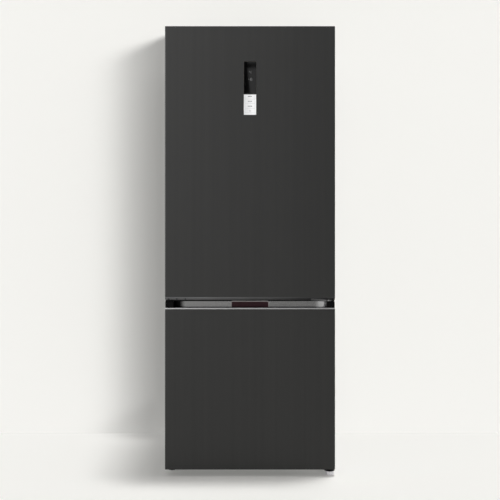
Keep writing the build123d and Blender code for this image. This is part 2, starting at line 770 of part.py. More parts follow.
def grip_plan(inset):
    """Plan of the finger channel, scooped at both ends and set in from its walls."""
    front = Line((-GRIP_HALF, GRIP_FRONT), (GRIP_HALF, GRIP_FRONT))
    right = TangentArc((GRIP_FLAT, GRIP_REAR), (GRIP_HALF, GRIP_FRONT), tangent=(1, 0))
    back = Line((GRIP_FLAT, GRIP_REAR), (-GRIP_FLAT, GRIP_REAR))
    left = TangentArc((-GRIP_FLAT, GRIP_REAR), (-GRIP_HALF, GRIP_FRONT), tangent=(-1, 0))
    plan = make_face([front, right, back, left])
    return offset(plan, -inset, kind=Kind.INTERSECTION) if inset else plan


def grip_channel(z):
    """Room for the fingers behind the front edge of a door."""
    return raised(grip_plan(0), z)


def bush_hole(face_z, direction):
    """Keyed hole for a hinge bush, from a cap face into the cap."""
    return bush_barrel(face_z, direction, BUSH_RADIUS + PRESS_GAP, PIN_REACH - BUSH_WASHER)


def bush_barrel(face_z, direction, radius, length):
    """Faceted barrel on the hinge axis, from a height upwards or downwards."""
    seat = Plane(origin=(PIN_X, PIN_Y, face_z), z_dir=(0, 0, direction))
    return seat * extrude(RegularPolygon(radius, ROUND_SIDES), length)


def bush(face_z, plate_z, direction):
    """Flanged nylon bush: the washer runs on the hinge plate, the sleeve sits in the cap."""
    washer = abs(face_z - plate_z) - JOINT_GAP
    sleeve = bush_barrel(face_z, direction, BUSH_RADIUS, PIN_REACH - BUSH_WASHER - JOINT_GAP)
    collar = bush_barrel(face_z, -direction, BUSH_FLANGE, washer)
    bore = rod((PIN_X, PIN_Y, plate_z), (0, 0, direction), PIN_RADIUS + RUN_GAP, 2 * PIN_REACH)
    return sleeve + collar - bore


def hinge_pocket():
    """Room in the upper door's top for the hinge arm, open to the rear and right."""
    return block((POCKET_LEFT, SIDE), (FRONT + POCKET_WALL, DOOR_REAR), (POCKET_FLOOR, HEIGHT))


def control_window(z, gap):
    """Outline of a control strip piece as a plate behind the door front."""
    half = CONTROL_WIDTH / 2 - gap
    return block((-half, half), (FRONT, FRONT + CONTROL_GLASS), (z[0] + gap, z[1] - gap))


def control_body(z):
    """Electronics box behind a control strip piece."""
    half = CONTROL_WIDTH / 2 - CONTROL_RIM
    y = (FRONT + CONTROL_GLASS, FRONT + CONTROL_BODY)
    return block((-half, half), y, (z[0] + CONTROL_RIM, z[1] - CONTROL_RIM))


def control_piece(z):
    """Flush plate with its electronics box."""
    return control_window(z, JOINT_GAP / 2) + control_body(z)


def fridge_door_skin():
    """Upper door front with the control window and the hinge cut-out."""
    skin = door_skin((FRIDGE_SKIN_BASE, HEIGHT))
    return skin - control_window((CONTROL_BASE, CONTROL_TOP), 0) - hinge_pocket()


def fridge_door_top_cap():
    """Top closure of the upper door with the hinge pocket."""
    cap = raised(door_plan(SHEET), (HEIGHT - TOP_CAP, HEIGHT))
    return cap - hinge_pocket() - bush_hole(POCKET_FLOOR, -1)


def fridge_door_bottom_cap():
    """Bottom closure of the upper door with its chamfered edge and finger channel."""
    top = FRIDGE_DOOR_BASE + FRIDGE_GRIP_CAP
    edge = raised(door_plan(0), (FRIDGE_DOOR_BASE, FRIDGE_SKIN_BASE))
    bevel = make_face(
        Polyline(
            (FRONT, FRIDGE_DOOR_BASE),
            (FRONT + CAP_CHAMFER, FRIDGE_DOOR_BASE),
            (FRONT, FRIDGE_DOOR_BASE + CAP_CHAMFER),
            close=True,
        )
    )
    edge -= across(bevel, FULL_WIDTH)
    core = raised(door_plan(SHEET), (FRIDGE_SKIN_BASE, top))
    channel = grip_channel((FRIDGE_DOOR_BASE, FRIDGE_DOOR_BASE + FRIDGE_GRIP_HEIGHT))
    notch = block(
        (SIDE - HINGE_NOTCH_WIDTH, SIDE),
        (FRONT, DOOR_REAR),
        (FRIDGE_DOOR_BASE, HINGE_NOTCH_TOP),
    )
    return edge + core - channel - notch - bush_hole(HINGE_NOTCH_TOP, 1)


def fridge_door_foam():
    """Insulation of the upper door, with room for the control electronics."""
    z = (FRIDGE_DOOR_BASE + FRIDGE_GRIP_CAP, HEIGHT - TOP_CAP)
    rim = door_rim(FRIDGE_DYKE_HALF, FRIDGE_DYKE_Z, FRIDGE_DYKE_HEIGHT, -LINER)
    half = CONTROL_WIDTH / 2
    room = block((-half, half), (FRONT, FRONT + CONTROL_BODY), (CONTROL_BASE, CONTROL_TOP))
    return raised(door_plan(SHEET), z) + rim - room


def fridge_door_liner():
    """Upper door's inner face with ledges for the bins."""
    z = (FRIDGE_DOOR_BASE, HEIGHT)
    liner = door_liner(z, FRIDGE_DYKE_HALF, FRIDGE_DYKE_Z, FRIDGE_DYKE_HEIGHT)
    inner = FRIDGE_DYKE_HALF - DYKE_WIDTH
    y = (DOOR_REAR - LINER / 2, DOOR_REAR + BIN_LEDGE_DEPTH)
    for level in [BOTTLE_BIN_BASE] + BIN_LEVELS:
        ledge_z = (level - BIN_LEDGE_HEIGHT, level)
        liner += mirrored(block((inner - BIN_LEDGE_WIDTH, inner + LINER), y, ledge_z))
    notch = block(
        (SIDE - HINGE_NOTCH_WIDTH, SIDE),
        (FRONT, DOOR_REAR),
        (FRIDGE_DOOR_BASE, HINGE_NOTCH_TOP),
    )
    return liner - hinge_pocket() - notch


def door_bin(base, height):
    """Open storage bin that sits on the door liner's ledges."""
    y = (DOOR_REAR + BIN_REAR_GAP, DOOR_REAR + BIN_REAR_GAP + BIN_DEPTH)
    return tub(BIN_HALF, y, (base, base + height), BIN_WALL, BIN_RADIUS, DRAWER_DRAFT)


def door_bins():
    """Bottle bin below and the small bins above it."""
    bins = [door_bin(BOTTLE_BIN_BASE, BOTTLE_BIN_HEIGHT)]
    bins += [door_bin(level, BIN_HEIGHT) for level in BIN_LEVELS]
    return Compound(children=bins)


def fridge_door_bushes():
    """Top and bottom hinge bushes of the upper door."""
    top = bush(POCKET_FLOOR, CABINET_TOP, -1)
    bottom = bush(HINGE_NOTCH_TOP, MIDDLE_PLATE_TOP, 1)
    return Compound(children=[top, bottom])


def freezer_door_top_cap():
    """Top closure of the lower door, hollowed into the recessed grip."""
    z = (FREEZER_DOOR_TOP - FREEZER_GRIP_CAP, FREEZER_DOOR_TOP)
    cap = raised(door_plan(SHEET), z)
    lip_room = block(FULL_WIDTH, (FRONT, GRIP_FRONT), (LIP_BASE, FREEZER_DOOR_TOP))
    channel = grip_channel((GRIP_FLOOR, FREEZER_DOOR_TOP))
    return cap - lip_room - channel - bush_hole(FREEZER_DOOR_TOP, -1)


def grip_trim():
    """Bent metal strip that lines the back and ends of the grip."""
    z = (GRIP_FLOOR, FREEZER_DOOR_TOP)
    strip = grip_plan(JOINT_GAP) - grip_plan(JOINT_GAP + GRIP_TRIM)
    front_wall = block(FULL_WIDTH, (GRIP_FRONT, GRIP_FRONT + JOINT_GAP + GRIP_TRIM), z)
    return raised(strip, z) - front_wall


def lip_trim():
    """Bright bevelled strip along the lower door's front edge."""
    profile = make_face(
        Polyline(
            (FRONT, LIP_BASE),
            (GRIP_FRONT, LIP_BASE),
            (GRIP_FRONT, LIP_BASE + LIP_HEIGHT),
            (FRONT + LIP_BEVEL, LIP_BASE + LIP_HEIGHT),
            (FRONT, LIP_BASE + LIP_HEIGHT - LIP_BEVEL),
            close=True,
        )
    )
    return across(profile, FULL_WIDTH) & raised(door_plan(0), (LIP_BASE, FREEZER_DOOR_TOP))


def grip_badge():
    """Small bare plate with a raised rim, on the grip trim."""
    rear = GRIP_REAR - JOINT_GAP - GRIP_TRIM
    top = FREEZER_DOOR_TOP + BADGE_RISE
    seat = Plane(origin=(0, rear, top - BADGE_HEIGHT / 2), x_dir=(1, 0, 0), z_dir=(0, -1, 0))
    plate = extrude(soft_rectangle(BADGE_WIDTH, BADGE_HEIGHT, BADGE_CORNER), BADGE_THICKNESS)
    field_size = (BADGE_WIDTH - 2 * BADGE_RIM, BADGE_HEIGHT - 2 * BADGE_RIM)
    field = soft_rectangle(*field_size, BADGE_CORNER - BADGE_RIM)
    recess = Pos(0, 0, BADGE_THICKNESS - BADGE_RECESS) * extrude(field, BADGE_RECESS)
    return seat * (plate - recess)


def freezer_door_bottom_cap():
    """Bottom closure of the lower door."""
    cap = raised(door_plan(SHEET), (FREEZER_DOOR_BASE, FREEZER_DOOR_BASE + BASE_CAP))
    return cap - bush_hole(FREEZER_DOOR_BASE, 1)


def freezer_door_foam():
    """Insulation of the lower door."""
    z = (FREEZER_DOOR_BASE + BASE_CAP, FREEZER_DOOR_TOP - FREEZER_GRIP_CAP)
    rim = door_rim(FREEZER_DYKE_HALF, FREEZER_DYKE_Z, FREEZER_DYKE_HEIGHT, -LINER)
    cap_room = block(FULL_WIDTH, (FRONT, DOOR_CORE_REAR), (z[1], FREEZER_DOOR_TOP))
    return raised(door_plan(SHEET), z) + rim - cap_room


def freezer_door_liner():
    """Lower door's inner face."""
    z = (FREEZER_DOOR_BASE, FREEZER_DOOR_TOP)
    return door_liner(z, FREEZER_DYKE_HALF, FREEZER_DYKE_Z, FREEZER_DYKE_HEIGHT)


def freezer_door_bushes():
    """Top and bottom hinge bushes of the lower door."""
    top = bush(FREEZER_DOOR_TOP, MIDDLE_PLATE_BASE, -1)
    bottom = bush(FREEZER_DOOR_BASE, CABINET_BASE, 1)
    return Compound(children=[top, bottom])


# Hinges and feet

def hinge_arm(radius, rear):
    """Plan of a hinge arm with a rounded end at the pin."""
    middle = (PIN_Y + rear) / 2
    bar = Pos(PIN_X, middle) * Rectangle(2 * radius, rear - PIN_Y)
    return bar + arm_end(radius)


def arm_end(radius):
    """Faceted round end of a hinge plate, with flats towards the front and sides."""
    return Pos(PIN_X, PIN_Y) * flat_round(radius, ROUND_SIDES)


def pin_bore(z):
    """Seat of a hinge pin in its plate."""
    seat = RegularPolygon(PIN_RADIUS + PRESS_GAP, ROUND_SIDES, major_radius=False)
    return raised(Pos(PIN_X, PIN_Y) * seat, z)


def top_hinge_bracket():
    """Flat hinge on the cabinet roof, with an arm over the door."""
    z = (CABINET_TOP, CABINET_TOP + HINGE_PLATE)
    front = CABINET_FRONT + HINGE_PAD_SETBACK
    right = PIN_X + HINGE_ARM
    centre = Pos(right - HINGE_PAD_LENGTH / 2, front + HINGE_PAD_DEPTH / 2)
    pad = centre * Rectangle(HINGE_PAD_LENGTH, HINGE_PAD_DEPTH)
    plan = hinge_arm(HINGE_ARM, front + HINGE_ARM) + pad
    return raised(plan, z) - pin_bore(z)


def cover_shape(inset):
    """Outside of the top hinge cover, or its hollow when set in by a wall."""
    right = PIN_X + HINGE_ARM + COVER_MARGIN - inset
    left = PIN_X + HINGE_ARM - HINGE_PAD_LENGTH - COVER_MARGIN + inset
    front = CABINET_FRONT + HINGE_PAD_SETBACK - COVER_MARGIN + inset
    rear = CABINET_FRONT + HINGE_PAD_SETBACK + HINGE_PAD_DEPTH + COVER_MARGIN - inset
    body = block((left, right), (front, rear), (CABINET_TOP, CABINET_TOP + COVER_HEIGHT - inset))
    edges = body.edges().filter_by(Axis.Z) + body.faces().sort_by(Axis.Z)[-1].edges()
    return chamfer(edges, COVER_BEVEL)


def top_hinge_cover():
    """Moulded cover over the top hinge, open below and in front of the arm."""
    front = CABINET_FRONT + HINGE_PAD_SETBACK - COVER_MARGIN
    half = HINGE_ARM + JOINT_GAP
    slot = block(
        (PIN_X - half, PIN_X + half),
        (front, front + COVER_MARGIN),
        (CABINET_TOP, CABINET_TOP + HINGE_PLATE + JOINT_GAP),
    )
    return cover_shape(0) - cover_shape(COVER_WALL) - slot


def middle_hinge_bracket():
    """Angle hinge on the centre rail, with a plate between the doors."""
    right = PIN_X + MIDDLE_ARM
    left = right - MIDDLE_FLANGE_LENGTH
    flange_y = (CABINET_FRONT - HINGE_PLATE, CABINET_FRONT)
    flange_z = (DOOR_SPLIT - MIDDLE_FLANGE_HEIGHT / 2, DOOR_SPLIT + MIDDLE_FLANGE_HEIGHT / 2)
    plan = make_face(
        Polyline(
            (left, CABINET_FRONT),
            (PIN_X - MIDDLE_ARM, PIN_Y),
            (right, PIN_Y),
            (right, CABINET_FRONT),
            close=True,
        )
    )
    plate_z = (MIDDLE_PLATE_BASE, MIDDLE_PLATE_TOP)
    plate = raised(plan + arm_end(MIDDLE_ARM), plate_z) - pin_bore(plate_z)
    return block((left, right), flange_y, flange_z) + plate


def bottom_hinge_bracket():
    """Plate under the base panel with the nut boss of the right foot."""
    z = (BOTTOM_PLATE_BASE, CABINET_BASE)
    right = PIN_X + MIDDLE_ARM
    centre = Pos(right - HINGE_PAD_LENGTH / 2, CABINET_FRONT + HINGE_PAD_DEPTH / 2)
    plan = hinge_arm(MIDDLE_ARM, CABINET_FRONT + MIDDLE_ARM)
    plan += centre * Rectangle(HINGE_PAD_LENGTH, HINGE_PAD_DEPTH)
    seat = pin_bore((CABINET_BASE - MIDDLE_PLATE / 2, CABINET_BASE))
    return raised(plan, z) + foot_boss(PIN_X, PIN_Y, BOTTOM_PLATE_BASE) - seat


def pin(z):
    """Hinge pin between two heights."""
    return column(PIN_X, PIN_Y, z, PIN_RADIUS)


def hinge_pins():
    """Top, middle and bottom pins on the common axis."""
    plate_top = CABINET_TOP + HINGE_PLATE
    top = pin((CABINET_TOP - PIN_REACH + BUSH_WASHER, plate_top + PIN_HEAD))
    top += bush_barrel(plate_top, 1, PIN_HEAD_RADIUS, PIN_HEAD)
    middle = pin((MIDDLE_PLATE_BASE - PIN_REACH + BUSH_WASHER, MIDDLE_PLATE_TOP + PIN_REACH))
    bottom = pin((CABINET_BASE - MIDDLE_PLATE / 2, CABINET_BASE + PIN_REACH))
    return Compound(children=[top, middle, bottom])


def foot(x, y):
    """Fluted levelling foot with its screw stem."""
    step = pi / FOOT_FLUTES
    points = []
    for index in range(2 * FOOT_FLUTES):
        radius = FOOT_RADIUS if index % 2 else FOOT_RADIUS - FLUTE_DEPTH
        points.append((radius * cos(index * step), radius * sin(index * step)))
    disc = extrude(make_face(Polyline(*points, close=True)), FOOT_HEIGHT)
    stem = column(0, 0, (FOOT_HEIGHT, FOOT_HEIGHT + FOOT_STEM_REACH), FOOT_STEM)
    return Pos(x, y, 0) * (disc + stem)


def roller():
    """Right rear roller."""
    start = (ROLLER_X - ROLLER_WIDTH / 2, ROLLER_Y, ROLLER_RADIUS)
    seat = Plane(origin=start, x_dir=(0, 0, 1), z_dir=(1, 0, 0))
    tread = seat * extrude(flat_round(ROLLER_RADIUS, ROLLER_SIDES), ROLLER_WIDTH)
    return tread - rod(start, (1, 0, 0), AXLE_RADIUS + RUN_GAP, ROLLER_WIDTH)


def roller_axle():
    """Right rear axle, through both ears of the base plate."""
    half = ROLLER_WIDTH / 2 + EAR_GAP + EAR_SHEET
    start = (ROLLER_X - half, ROLLER_Y, ROLLER_RADIUS)
    return rod(start, (1, 0, 0), AXLE_RADIUS, 2 * half)


# Compressor compartment

def axle_ears():
    """Pair of ears that hold the right roller's axle."""
    inner = ROLLER_WIDTH / 2 + EAR_GAP
    axle = Pos(ROLLER_Y, ROLLER_RADIUS)
    straight = (ROLLER_RADIUS + BASE_PLATE_HEIGHT) / 2
    outline = axle * flat_round(EAR_HALF, ROUND_SIDES)
    outline += Pos(ROLLER_Y, straight) * Rectangle(2 * EAR_HALF, BASE_PLATE_HEIGHT - ROLLER_RADIUS)
    outline -= axle * RegularPolygon(AXLE_RADIUS + PRESS_GAP, ROUND_SIDES, major_radius=False)
    near = across(outline, (ROLLER_X - inner - EAR_SHEET, ROLLER_X - inner))
    far = across(outline, (ROLLER_X + inner, ROLLER_X + inner + EAR_SHEET))
    return near + far


def compressor_base():
    """Steel crossbar for the compressor, with the roller ears below it."""
    front = MACHINE_FRONT + BASE_PLATE_MARGIN
    back = CABINET_BACK - BASE_PLATE_MARGIN
    line = Polyline(
        (front, BASE_PLATE_HEIGHT + BASE_PLATE_FLANGE),
        (front, BASE_PLATE_HEIGHT),
        (back, BASE_PLATE_HEIGHT),
        (back, BASE_PLATE_HEIGHT + BASE_PLATE_FLANGE),
    )
    half = FOAM_HALF - JOINT_GAP
    plate = across(folded(line, BASE_PLATE, Side.LEFT), (-half, half))
    return plate + mirrored(axle_ears())


def compressor():
    """Welded compressor can on its foot plate, with pipe stubs."""
    radius = COMPRESSOR_RADIUS
    height = COMPRESSOR_HEIGHT
    dome = COMPRESSOR_DOME
    slope = dome * (1 - cos(pi / 4))
    can = turned(
        [
            (radius - dome, 0),
            (radius - slope, slope),
            (radius, dome),
            (radius, height - dome),
            (radius - slope, height - slope),
            (radius - dome, height),
        ],
        COMPRESSOR_SIDES,
    )
    outline = soft_rectangle(COMPRESSOR_FOOT_LENGTH, COMPRESSOR_FOOT_DEPTH, GROMMET_RADIUS)
    foot_plate = extrude(outline, -COMPRESSOR_FOOT)
    stub = RegularPolygon(STUB_RADIUS, TUBE_SIDES)
    suction_seat = Plane(origin=(0, 0, SUCTION_STUB_RISE), z_dir=(-1, 0, 0))
    discharge_seat = Plane(origin=(0, 0, DISCHARGE_STUB_RISE), z_dir=(1, 0, 0))
    reach = radius + STUB_LENGTH
    stubs = extrude(suction_seat * stub, reach) + extrude(discharge_seat * stub, reach)
    return Pos(COMPRESSOR_X, COMPRESSOR_Y, COMPRESSOR_BASE) * (can + foot_plate + stubs)


def compressor_grommets():
    """Rubber mounts between the base plate and the compressor's foot plate."""
    waist = (GROMMET_WAIST, GROMMET_HEIGHT / 2)
    grommet = turned([(GROMMET_RADIUS, 0), waist, (GROMMET_RADIUS, GROMMET_HEIGHT)], ROUND_SIDES)
    dx = COMPRESSOR_FOOT_LENGTH / 2 - GROMMET_EDGE
    dy = COMPRESSOR_FOOT_DEPTH / 2 - GROMMET_EDGE
    places = [(dx, dy), (dx, -dy), (-dx, dy), (-dx, -dy)]
    seat = Pos(COMPRESSOR_X, COMPRESSOR_Y, BASE_PLATE_TOP)
    return Compound(children=[seat * Pos(x, y, 0) * grommet for x, y in places])


def compressor_terminal_cover():
    """Moulded terminal box on the compressor's side, with the gland of the mains lead."""
    x = COMPRESSOR_X + COMPRESSOR_RADIUS + JOINT_GAP
    z = COMPRESSOR_BASE + TERMINAL_RISE
    half = TERMINAL_WIDTH / 2
    y = (COMPRESSOR_Y - half, COMPRESSOR_Y + half)
    box = block((x, x + TERMINAL_LENGTH), y, (z, z + TERMINAL_HEIGHT))
    box = chamfer(box.faces().sort_by(Axis.X)[-1].edges(), TERMINAL_BEVEL)
    start = (x + TERMINAL_LENGTH, COMPRESSOR_Y, z + TERMINAL_HEIGHT / 2)
    seat = Plane(origin=start, z_dir=(1, 0, 0))
    ring = RegularPolygon(GLAND_RADIUS, ROUND_SIDES) - RegularPolygon(GLAND_BORE, ROUND_SIDES)
    return box + extrude(seat * ring, GLAND_LENGTH)


def evaporation_tray():
    """Shallow tray for melt water on top of the compressor."""
    half = TRAY_DEPTH / 2
    base = COMPRESSOR_TOP
    y = (COMPRESSOR_Y - half, COMPRESSOR_Y + half)
    tray = tub(TRAY_LENGTH / 2, y, (base, base + TRAY_HEIGHT), TRAY_WALL, TRAY_RADIUS, DRAWER_DRAFT)
    return Pos(COMPRESSOR_X, 0, 0) * tray


def condenser_coil():
    """Serpentine condenser tube behind the back panel."""
    points = []
    for run in range(COIL_RUNS):
        z = COIL_BASE + run * COIL_PITCH
        ends = (-COIL_HALF, COIL_HALF) if run % 2 == 0 else (COIL_HALF, -COIL_HALF)
        points += [(ends[0], COIL_Y, z), (ends[1], COIL_Y, z)]
    return tube(points, COIL_BEND, TUBE_RADIUS)


def condenser_wires():
    """Upright wires welded across the condenser tube."""
    reach = COIL_HALF - COIL_BEND
    count = 2 * int(reach / WIRE_PITCH) + 1
    z = (COIL_BASE - WIRE_OVERHANG, COIL_TOP + WIRE_OVERHANG)
    half = WIRE_SIZE / 2
    wire = block((-half, half), (WIRE_FACE, WIRE_FACE + WIRE_SIZE), z)
    first = -WIRE_PITCH * (count - 1) / 2
    return Compound(children=[Pos(first + i * WIRE_PITCH, 0, 0) * wire for i in range(count)])


def condenser_brackets():
    """Four stand-offs that hold the condenser and keep the cabinet off the wall."""
    slot_half = TUBE_RADIUS + BRACKET_SLOT_GAP
    x = (BRACKET_X - BRACKET_WIDTH / 2, BRACKET_X + BRACKET_WIDTH / 2)
    brackets = []
    for run_z in (COIL_BASE, COIL_TOP):
        z = (run_z - BRACKET_HEIGHT / 2, run_z + BRACKET_HEIGHT / 2)
        body = block(x, (PANEL_BACK, BACK), z)
        body = chamfer(body.faces().sort_by(Axis.Y)[-1].edges().filter_by(Axis.X), BRACKET_BEVEL)
        slot = block(x, (COIL_Y - slot_half, COIL_Y + slot_half), (run_z - slot_half, run_z + slot_half))
        body -= slot
        brackets += [body, mirror(body, about=Plane.YZ)]
    return Compound(children=brackets)


def refrigerant_lines():
    """Discharge, liquid and suction lines; the liquid line carries the drier."""
    stub = COMPRESSOR_RADIUS + STUB_LENGTH
    discharge_z = COMPRESSOR_BASE + DISCHARGE_STUB_RISE
    discharge = tube(
        [
            (COMPRESSOR_X + stub, COMPRESSOR_Y, discharge_z),
            (LINE_X, COMPRESSOR_Y, discharge_z),
            (LINE_X, COIL_Y, discharge_z),
            (LINE_X, COIL_Y, COIL_TOP),
            (COIL_HALF, COIL_Y, COIL_TOP),
        ],
        LINE_BEND,
        TUBE_RADIUS,
    )
    turn_z = MACHINE_TOP - SUCTION_SIDE
    liquid = tube(
        [
            (-COIL_HALF, COIL_Y, COIL_BASE),
            (-LINE_X, COIL_Y, COIL_BASE),
            (-LINE_X, COIL_Y, turn_z),
            (-LINE_X, COMPRESSOR_Y, turn_z),
            (-LINE_X, COMPRESSOR_Y, MACHINE_TOP),
        ],
        LINE_BEND,
        TUBE_RADIUS,
    )
    drier_top = COIL_BASE - DRIER_DROP
    drier = extrude(RegularPolygon(DRIER_RADIUS, ROUND_SIDES), DRIER_LENGTH)
    liquid += Pos(-LINE_X, COIL_Y, drier_top - DRIER_LENGTH) * drier
    suction_z = COMPRESSOR_BASE + SUCTION_STUB_RISE
    suction_x = COMPRESSOR_X - stub - SUCTION_SIDE
    suction = tube(
        [
            (COMPRESSOR_X - stub, COMPRESSOR_Y, suction_z),
            (suction_x, COMPRESSOR_Y, suction_z),
            (suction_x, COMPRESSOR_Y, MACHINE_TOP),
        ],
        LINE_BEND,
        TUBE_RADIUS,
    )
    return Compound(children=[discharge, liquid, suction])


# Freezer cold-air unit

def evaporator():
    """Finned tube block behind the freezer's rear cover."""
    base = STEP_TOP + EVAPORATOR_RISE
    height = EVAPORATOR_ROWS * EVAPORATOR_PITCH
    y = (FREEZER_BACK - EVAPORATOR_DEPTH, FREEZER_BACK)
    middle = (y[0] + y[1]) / 2
    spacing = 2 * EVAPORATOR_HALF / (EVAPORATOR_FINS - 1)
    reach = EVAPORATOR_HALF + EVAPORATOR_BEND
    points = []
    for index in range(EVAPORATOR_ROWS):
        row_z = base + EVAPORATOR_PITCH / 2 + index * EVAPORATOR_PITCH
        sign = 1 if index % 2 == 0 else -1
        points += [(-sign * reach, middle, row_z), (sign * reach, middle, row_z)]
    body = tube(points, EVAPORATOR_BEND, EVAPORATOR_TUBE)
    half = EVAPORATOR_FIN / 2
    for index in range(EVAPORATOR_FINS):
        x = index * spacing - EVAPORATOR_HALF
        body += block((x - half, x + half), y, (base, base + height))
    return body


def evaporator_cover():
    """Panel in front of the evaporator with rows of air slots."""
    x = (-FREEZER_HALF, FREEZER_HALF)
    y = (COVER_Y, COVER_Y + EVAPORATOR_COVER)
    cover = block(x, y, (STEP_TOP, FREEZER_CEILING))
    cover = chamfer(cover.edges().filter_by(Axis.Y).group_by(Axis.Z)[-1], LINER_RADIUS)
    slot = block((-VENT_LENGTH / 2, VENT_LENGTH / 2), y, (-VENT_HEIGHT / 2, VENT_HEIGHT / 2))
    for row in range(VENT_ROWS):
        z = FREEZER_CEILING - VENT_TOP_DROP - row * VENT_PITCH
        cover -= mirrored(Pos(VENT_X, 0, z) * slot)
    return cover


def fan_motor():
    """Fan motor with its shaft, carried on the cover by a cross arm and two posts."""
    start = (0, MOTOR_Y, FAN_Z)
    seat = Plane(origin=start, x_dir=(1, 0, 0), z_dir=(0, 1, 0))
    body = seat * extrude(RegularPolygon(MOTOR_RADIUS, ROUND_SIDES), MOTOR_LENGTH)
    body += rod(start, (0, -1, 0), SHAFT_RADIUS, MOTOR_GAP + FAN_HUB_LENGTH)
    arm_y = (MOTOR_Y + MOTOR_GAP, MOTOR_Y + MOTOR_GAP + MOTOR_POST)
    z = (FAN_Z - MOTOR_ARM_HALF, FAN_Z + MOTOR_ARM_HALF)
    body += block((-MOTOR_ARM, MOTOR_ARM), arm_y, z)
    post = block((MOTOR_ARM - MOTOR_POST, MOTOR_ARM), (COVER_Y + EVAPORATOR_COVER, arm_y[1]), z)
    return body + mirrored(post)


def fan_rotor():
    """Axial rotor on the motor shaft."""
    seat = Plane(origin=(0, 0, 0), x_dir=(1, 0, 0), z_dir=(0, 1, 0))
    hub = seat * extrude(RegularPolygon(FAN_HUB, ROUND_SIDES), FAN_HUB_LENGTH)
    reach = FAN_RADIUS - FAN_HUB / 2
    blade = Box(reach, BLADE_THICKNESS, BLADE_CHORD, align=(Align.MIN, Align.CENTER, Align.CENTER))
    blade = Pos(FAN_HUB / 2, FAN_HUB_LENGTH / 2, 0) * (Rot(X=90 - BLADE_PITCH) * blade)
    blade &= block((0, FAN_RADIUS), (0, FAN_HUB_LENGTH), (-BLADE_CHORD, BLADE_CHORD))
    rotor = hub
    for index in range(FAN_BLADES):
        rotor += Rot(Y=index * 360 / FAN_BLADES) * blade
    rotor -= rod((0, 0, 0), (0, 1, 0), SHAFT_RADIUS + RUN_GAP, FAN_HUB_LENGTH)
    return Pos(0, FAN_Y, FAN_Z) * rotor


# Fridge interior

def glass_shelves():
    """Glass plates on the liner's ledges; the lowest covers the crisper."""
    plates = []
    for level in SHELF_LEVELS:
        z = (level, level + SHELF_GLASS)
        plates.append(block((-SHELF_HALF, SHELF_HALF), (SHELF_FRONT + TRIM_LIP, SHELF_BACK), z))
    return Compound(children=plates)


def shelf_trims():
    """Moulded channel on the front edge of each shelf."""
    trims = []
    for level in SHELF_LEVELS:
        low = level - TRIM_LIP
        high = level + SHELF_GLASS + TRIM_LIP
        outer = block((-SHELF_HALF, SHELF_HALF), (SHELF_FRONT, SHELF_FRONT + TRIM_DEPTH), (low, high))
        room = block(
            (-SHELF_HALF, SHELF_HALF),
            (SHELF_FRONT + TRIM_LIP, SHELF_FRONT + TRIM_DEPTH),
            (level, level + SHELF_GLASS),
        )
        trims.append(outer - room)
    return Compound(children=trims)


def fridge_air_duct():
    """Moulded air duct on the fridge's rear wall, with vents above each shelf."""
    y = (FRIDGE_BACK - DUCT_DEPTH, FRIDGE_BACK)
    z = (SHELF_LEVELS[0] + SHELF_GLASS + DUCT_TOP_GAP, FRIDGE_CEILING - DUCT_TOP_GAP)
    duct = block((-DUCT_HALF, DUCT_HALF), y, z)
    duct = chamfer(duct.faces().sort_by(Axis.Y)[0].edges(), DUCT_BEVEL)
    half = DUCT_VENT_LENGTH / 2
    cut_y = (y[0], y[0] + DUCT_VENT_CUT)
    tops = SHELF_LEVELS[1:] + [FRIDGE_CEILING]
    for top in tops:
        slot_z = (top - DUCT_VENT_DROP - VENT_HEIGHT, top - DUCT_VENT_DROP)
        duct -= mirrored(block((DUCT_VENT_X - half, DUCT_VENT_X + half), cut_y, slot_z))
    return duct


def fridge_lamp():
    """Flat lamp on the fridge's ceiling."""
    half = LAMP_LENGTH / 2
    y = (CABINET_FRONT + LAMP_SETBACK, CABINET_FRONT + LAMP_SETBACK + LAMP_DEPTH)
    lamp = block((-half, half), y, (FRIDGE_CEILING - LAMP_HEIGHT, FRIDGE_CEILING))
    return chamfer(lamp.faces().sort_by(Axis.Z)[0].edges(), LAMP_CHAMFER)


def drawer_lip(half, front, top):
    """Finger lip turned forward along a drawer's rim."""
    y = (front, front + DRAWER_LIP + DRAWER_WALL)
    profile = make_face(
        Polyline(
            (y[0], top - DRAWER_LIP_DROP),
            (y[0] + DRAWER_WALL, top - DRAWER_LIP_DROP),
            (y[0] + DRAWER_WALL, top - DRAWER_WALL),
            (y[1], top - DRAWER_WALL),
            (y[1], top),
            (y[0], top),
            close=True,
        )
    )
    reach = half - DRAWER_RADIUS
    return across(profile, (-reach, reach))


def runner_flanges(half, wall_half, y, top):
    """Side flanges of a drawer that slide on the liner's runners."""
    z = (top - RUNNER_DROP - RUNNER_SHEET, top - RUNNER_DROP)
    return mirrored(block((half - DRAWER_WALL, wall_half - RUNNER_WALL_GAP), y, z))


def crisper_drawer():
    """Vegetable drawer on the fridge floor."""
    z = (FRIDGE_FLOOR + DRAWER_FLOOR_GAP, SHELF_LEVELS[0] - CRISPER_TOP_GAP)
    y = (DRAWER_FRONT + DRAWER_LIP, FRIDGE_BACK - CRISPER_REAR_GAP)
    body = tub(DRAWER_HALF, y, z, DRAWER_WALL, DRAWER_RADIUS, DRAWER_DRAFT)
    return body + drawer_lip(DRAWER_HALF, DRAWER_FRONT, z[1])


def chiller_drawer():
    """Shallow drawer that hangs on runners under the second shelf."""
    z = (CHILLER_TOP - CHILLER_HEIGHT, CHILLER_TOP)
    y = (DRAWER_FRONT + DRAWER_LIP, SHELF_BACK - CRISPER_REAR_GAP)
    body = tub(DRAWER_HALF, y, z, DRAWER_WALL, DRAWER_RADIUS, DRAWER_DRAFT)
    body += drawer_lip(DRAWER_HALF, DRAWER_FRONT, z[1])
    runner_y = (y[0] + RUNNER_SETBACK, y[1] - DRAWER_RADIUS)
    return body + runner_flanges(DRAWER_HALF, FRIDGE_HALF, runner_y, z[1])


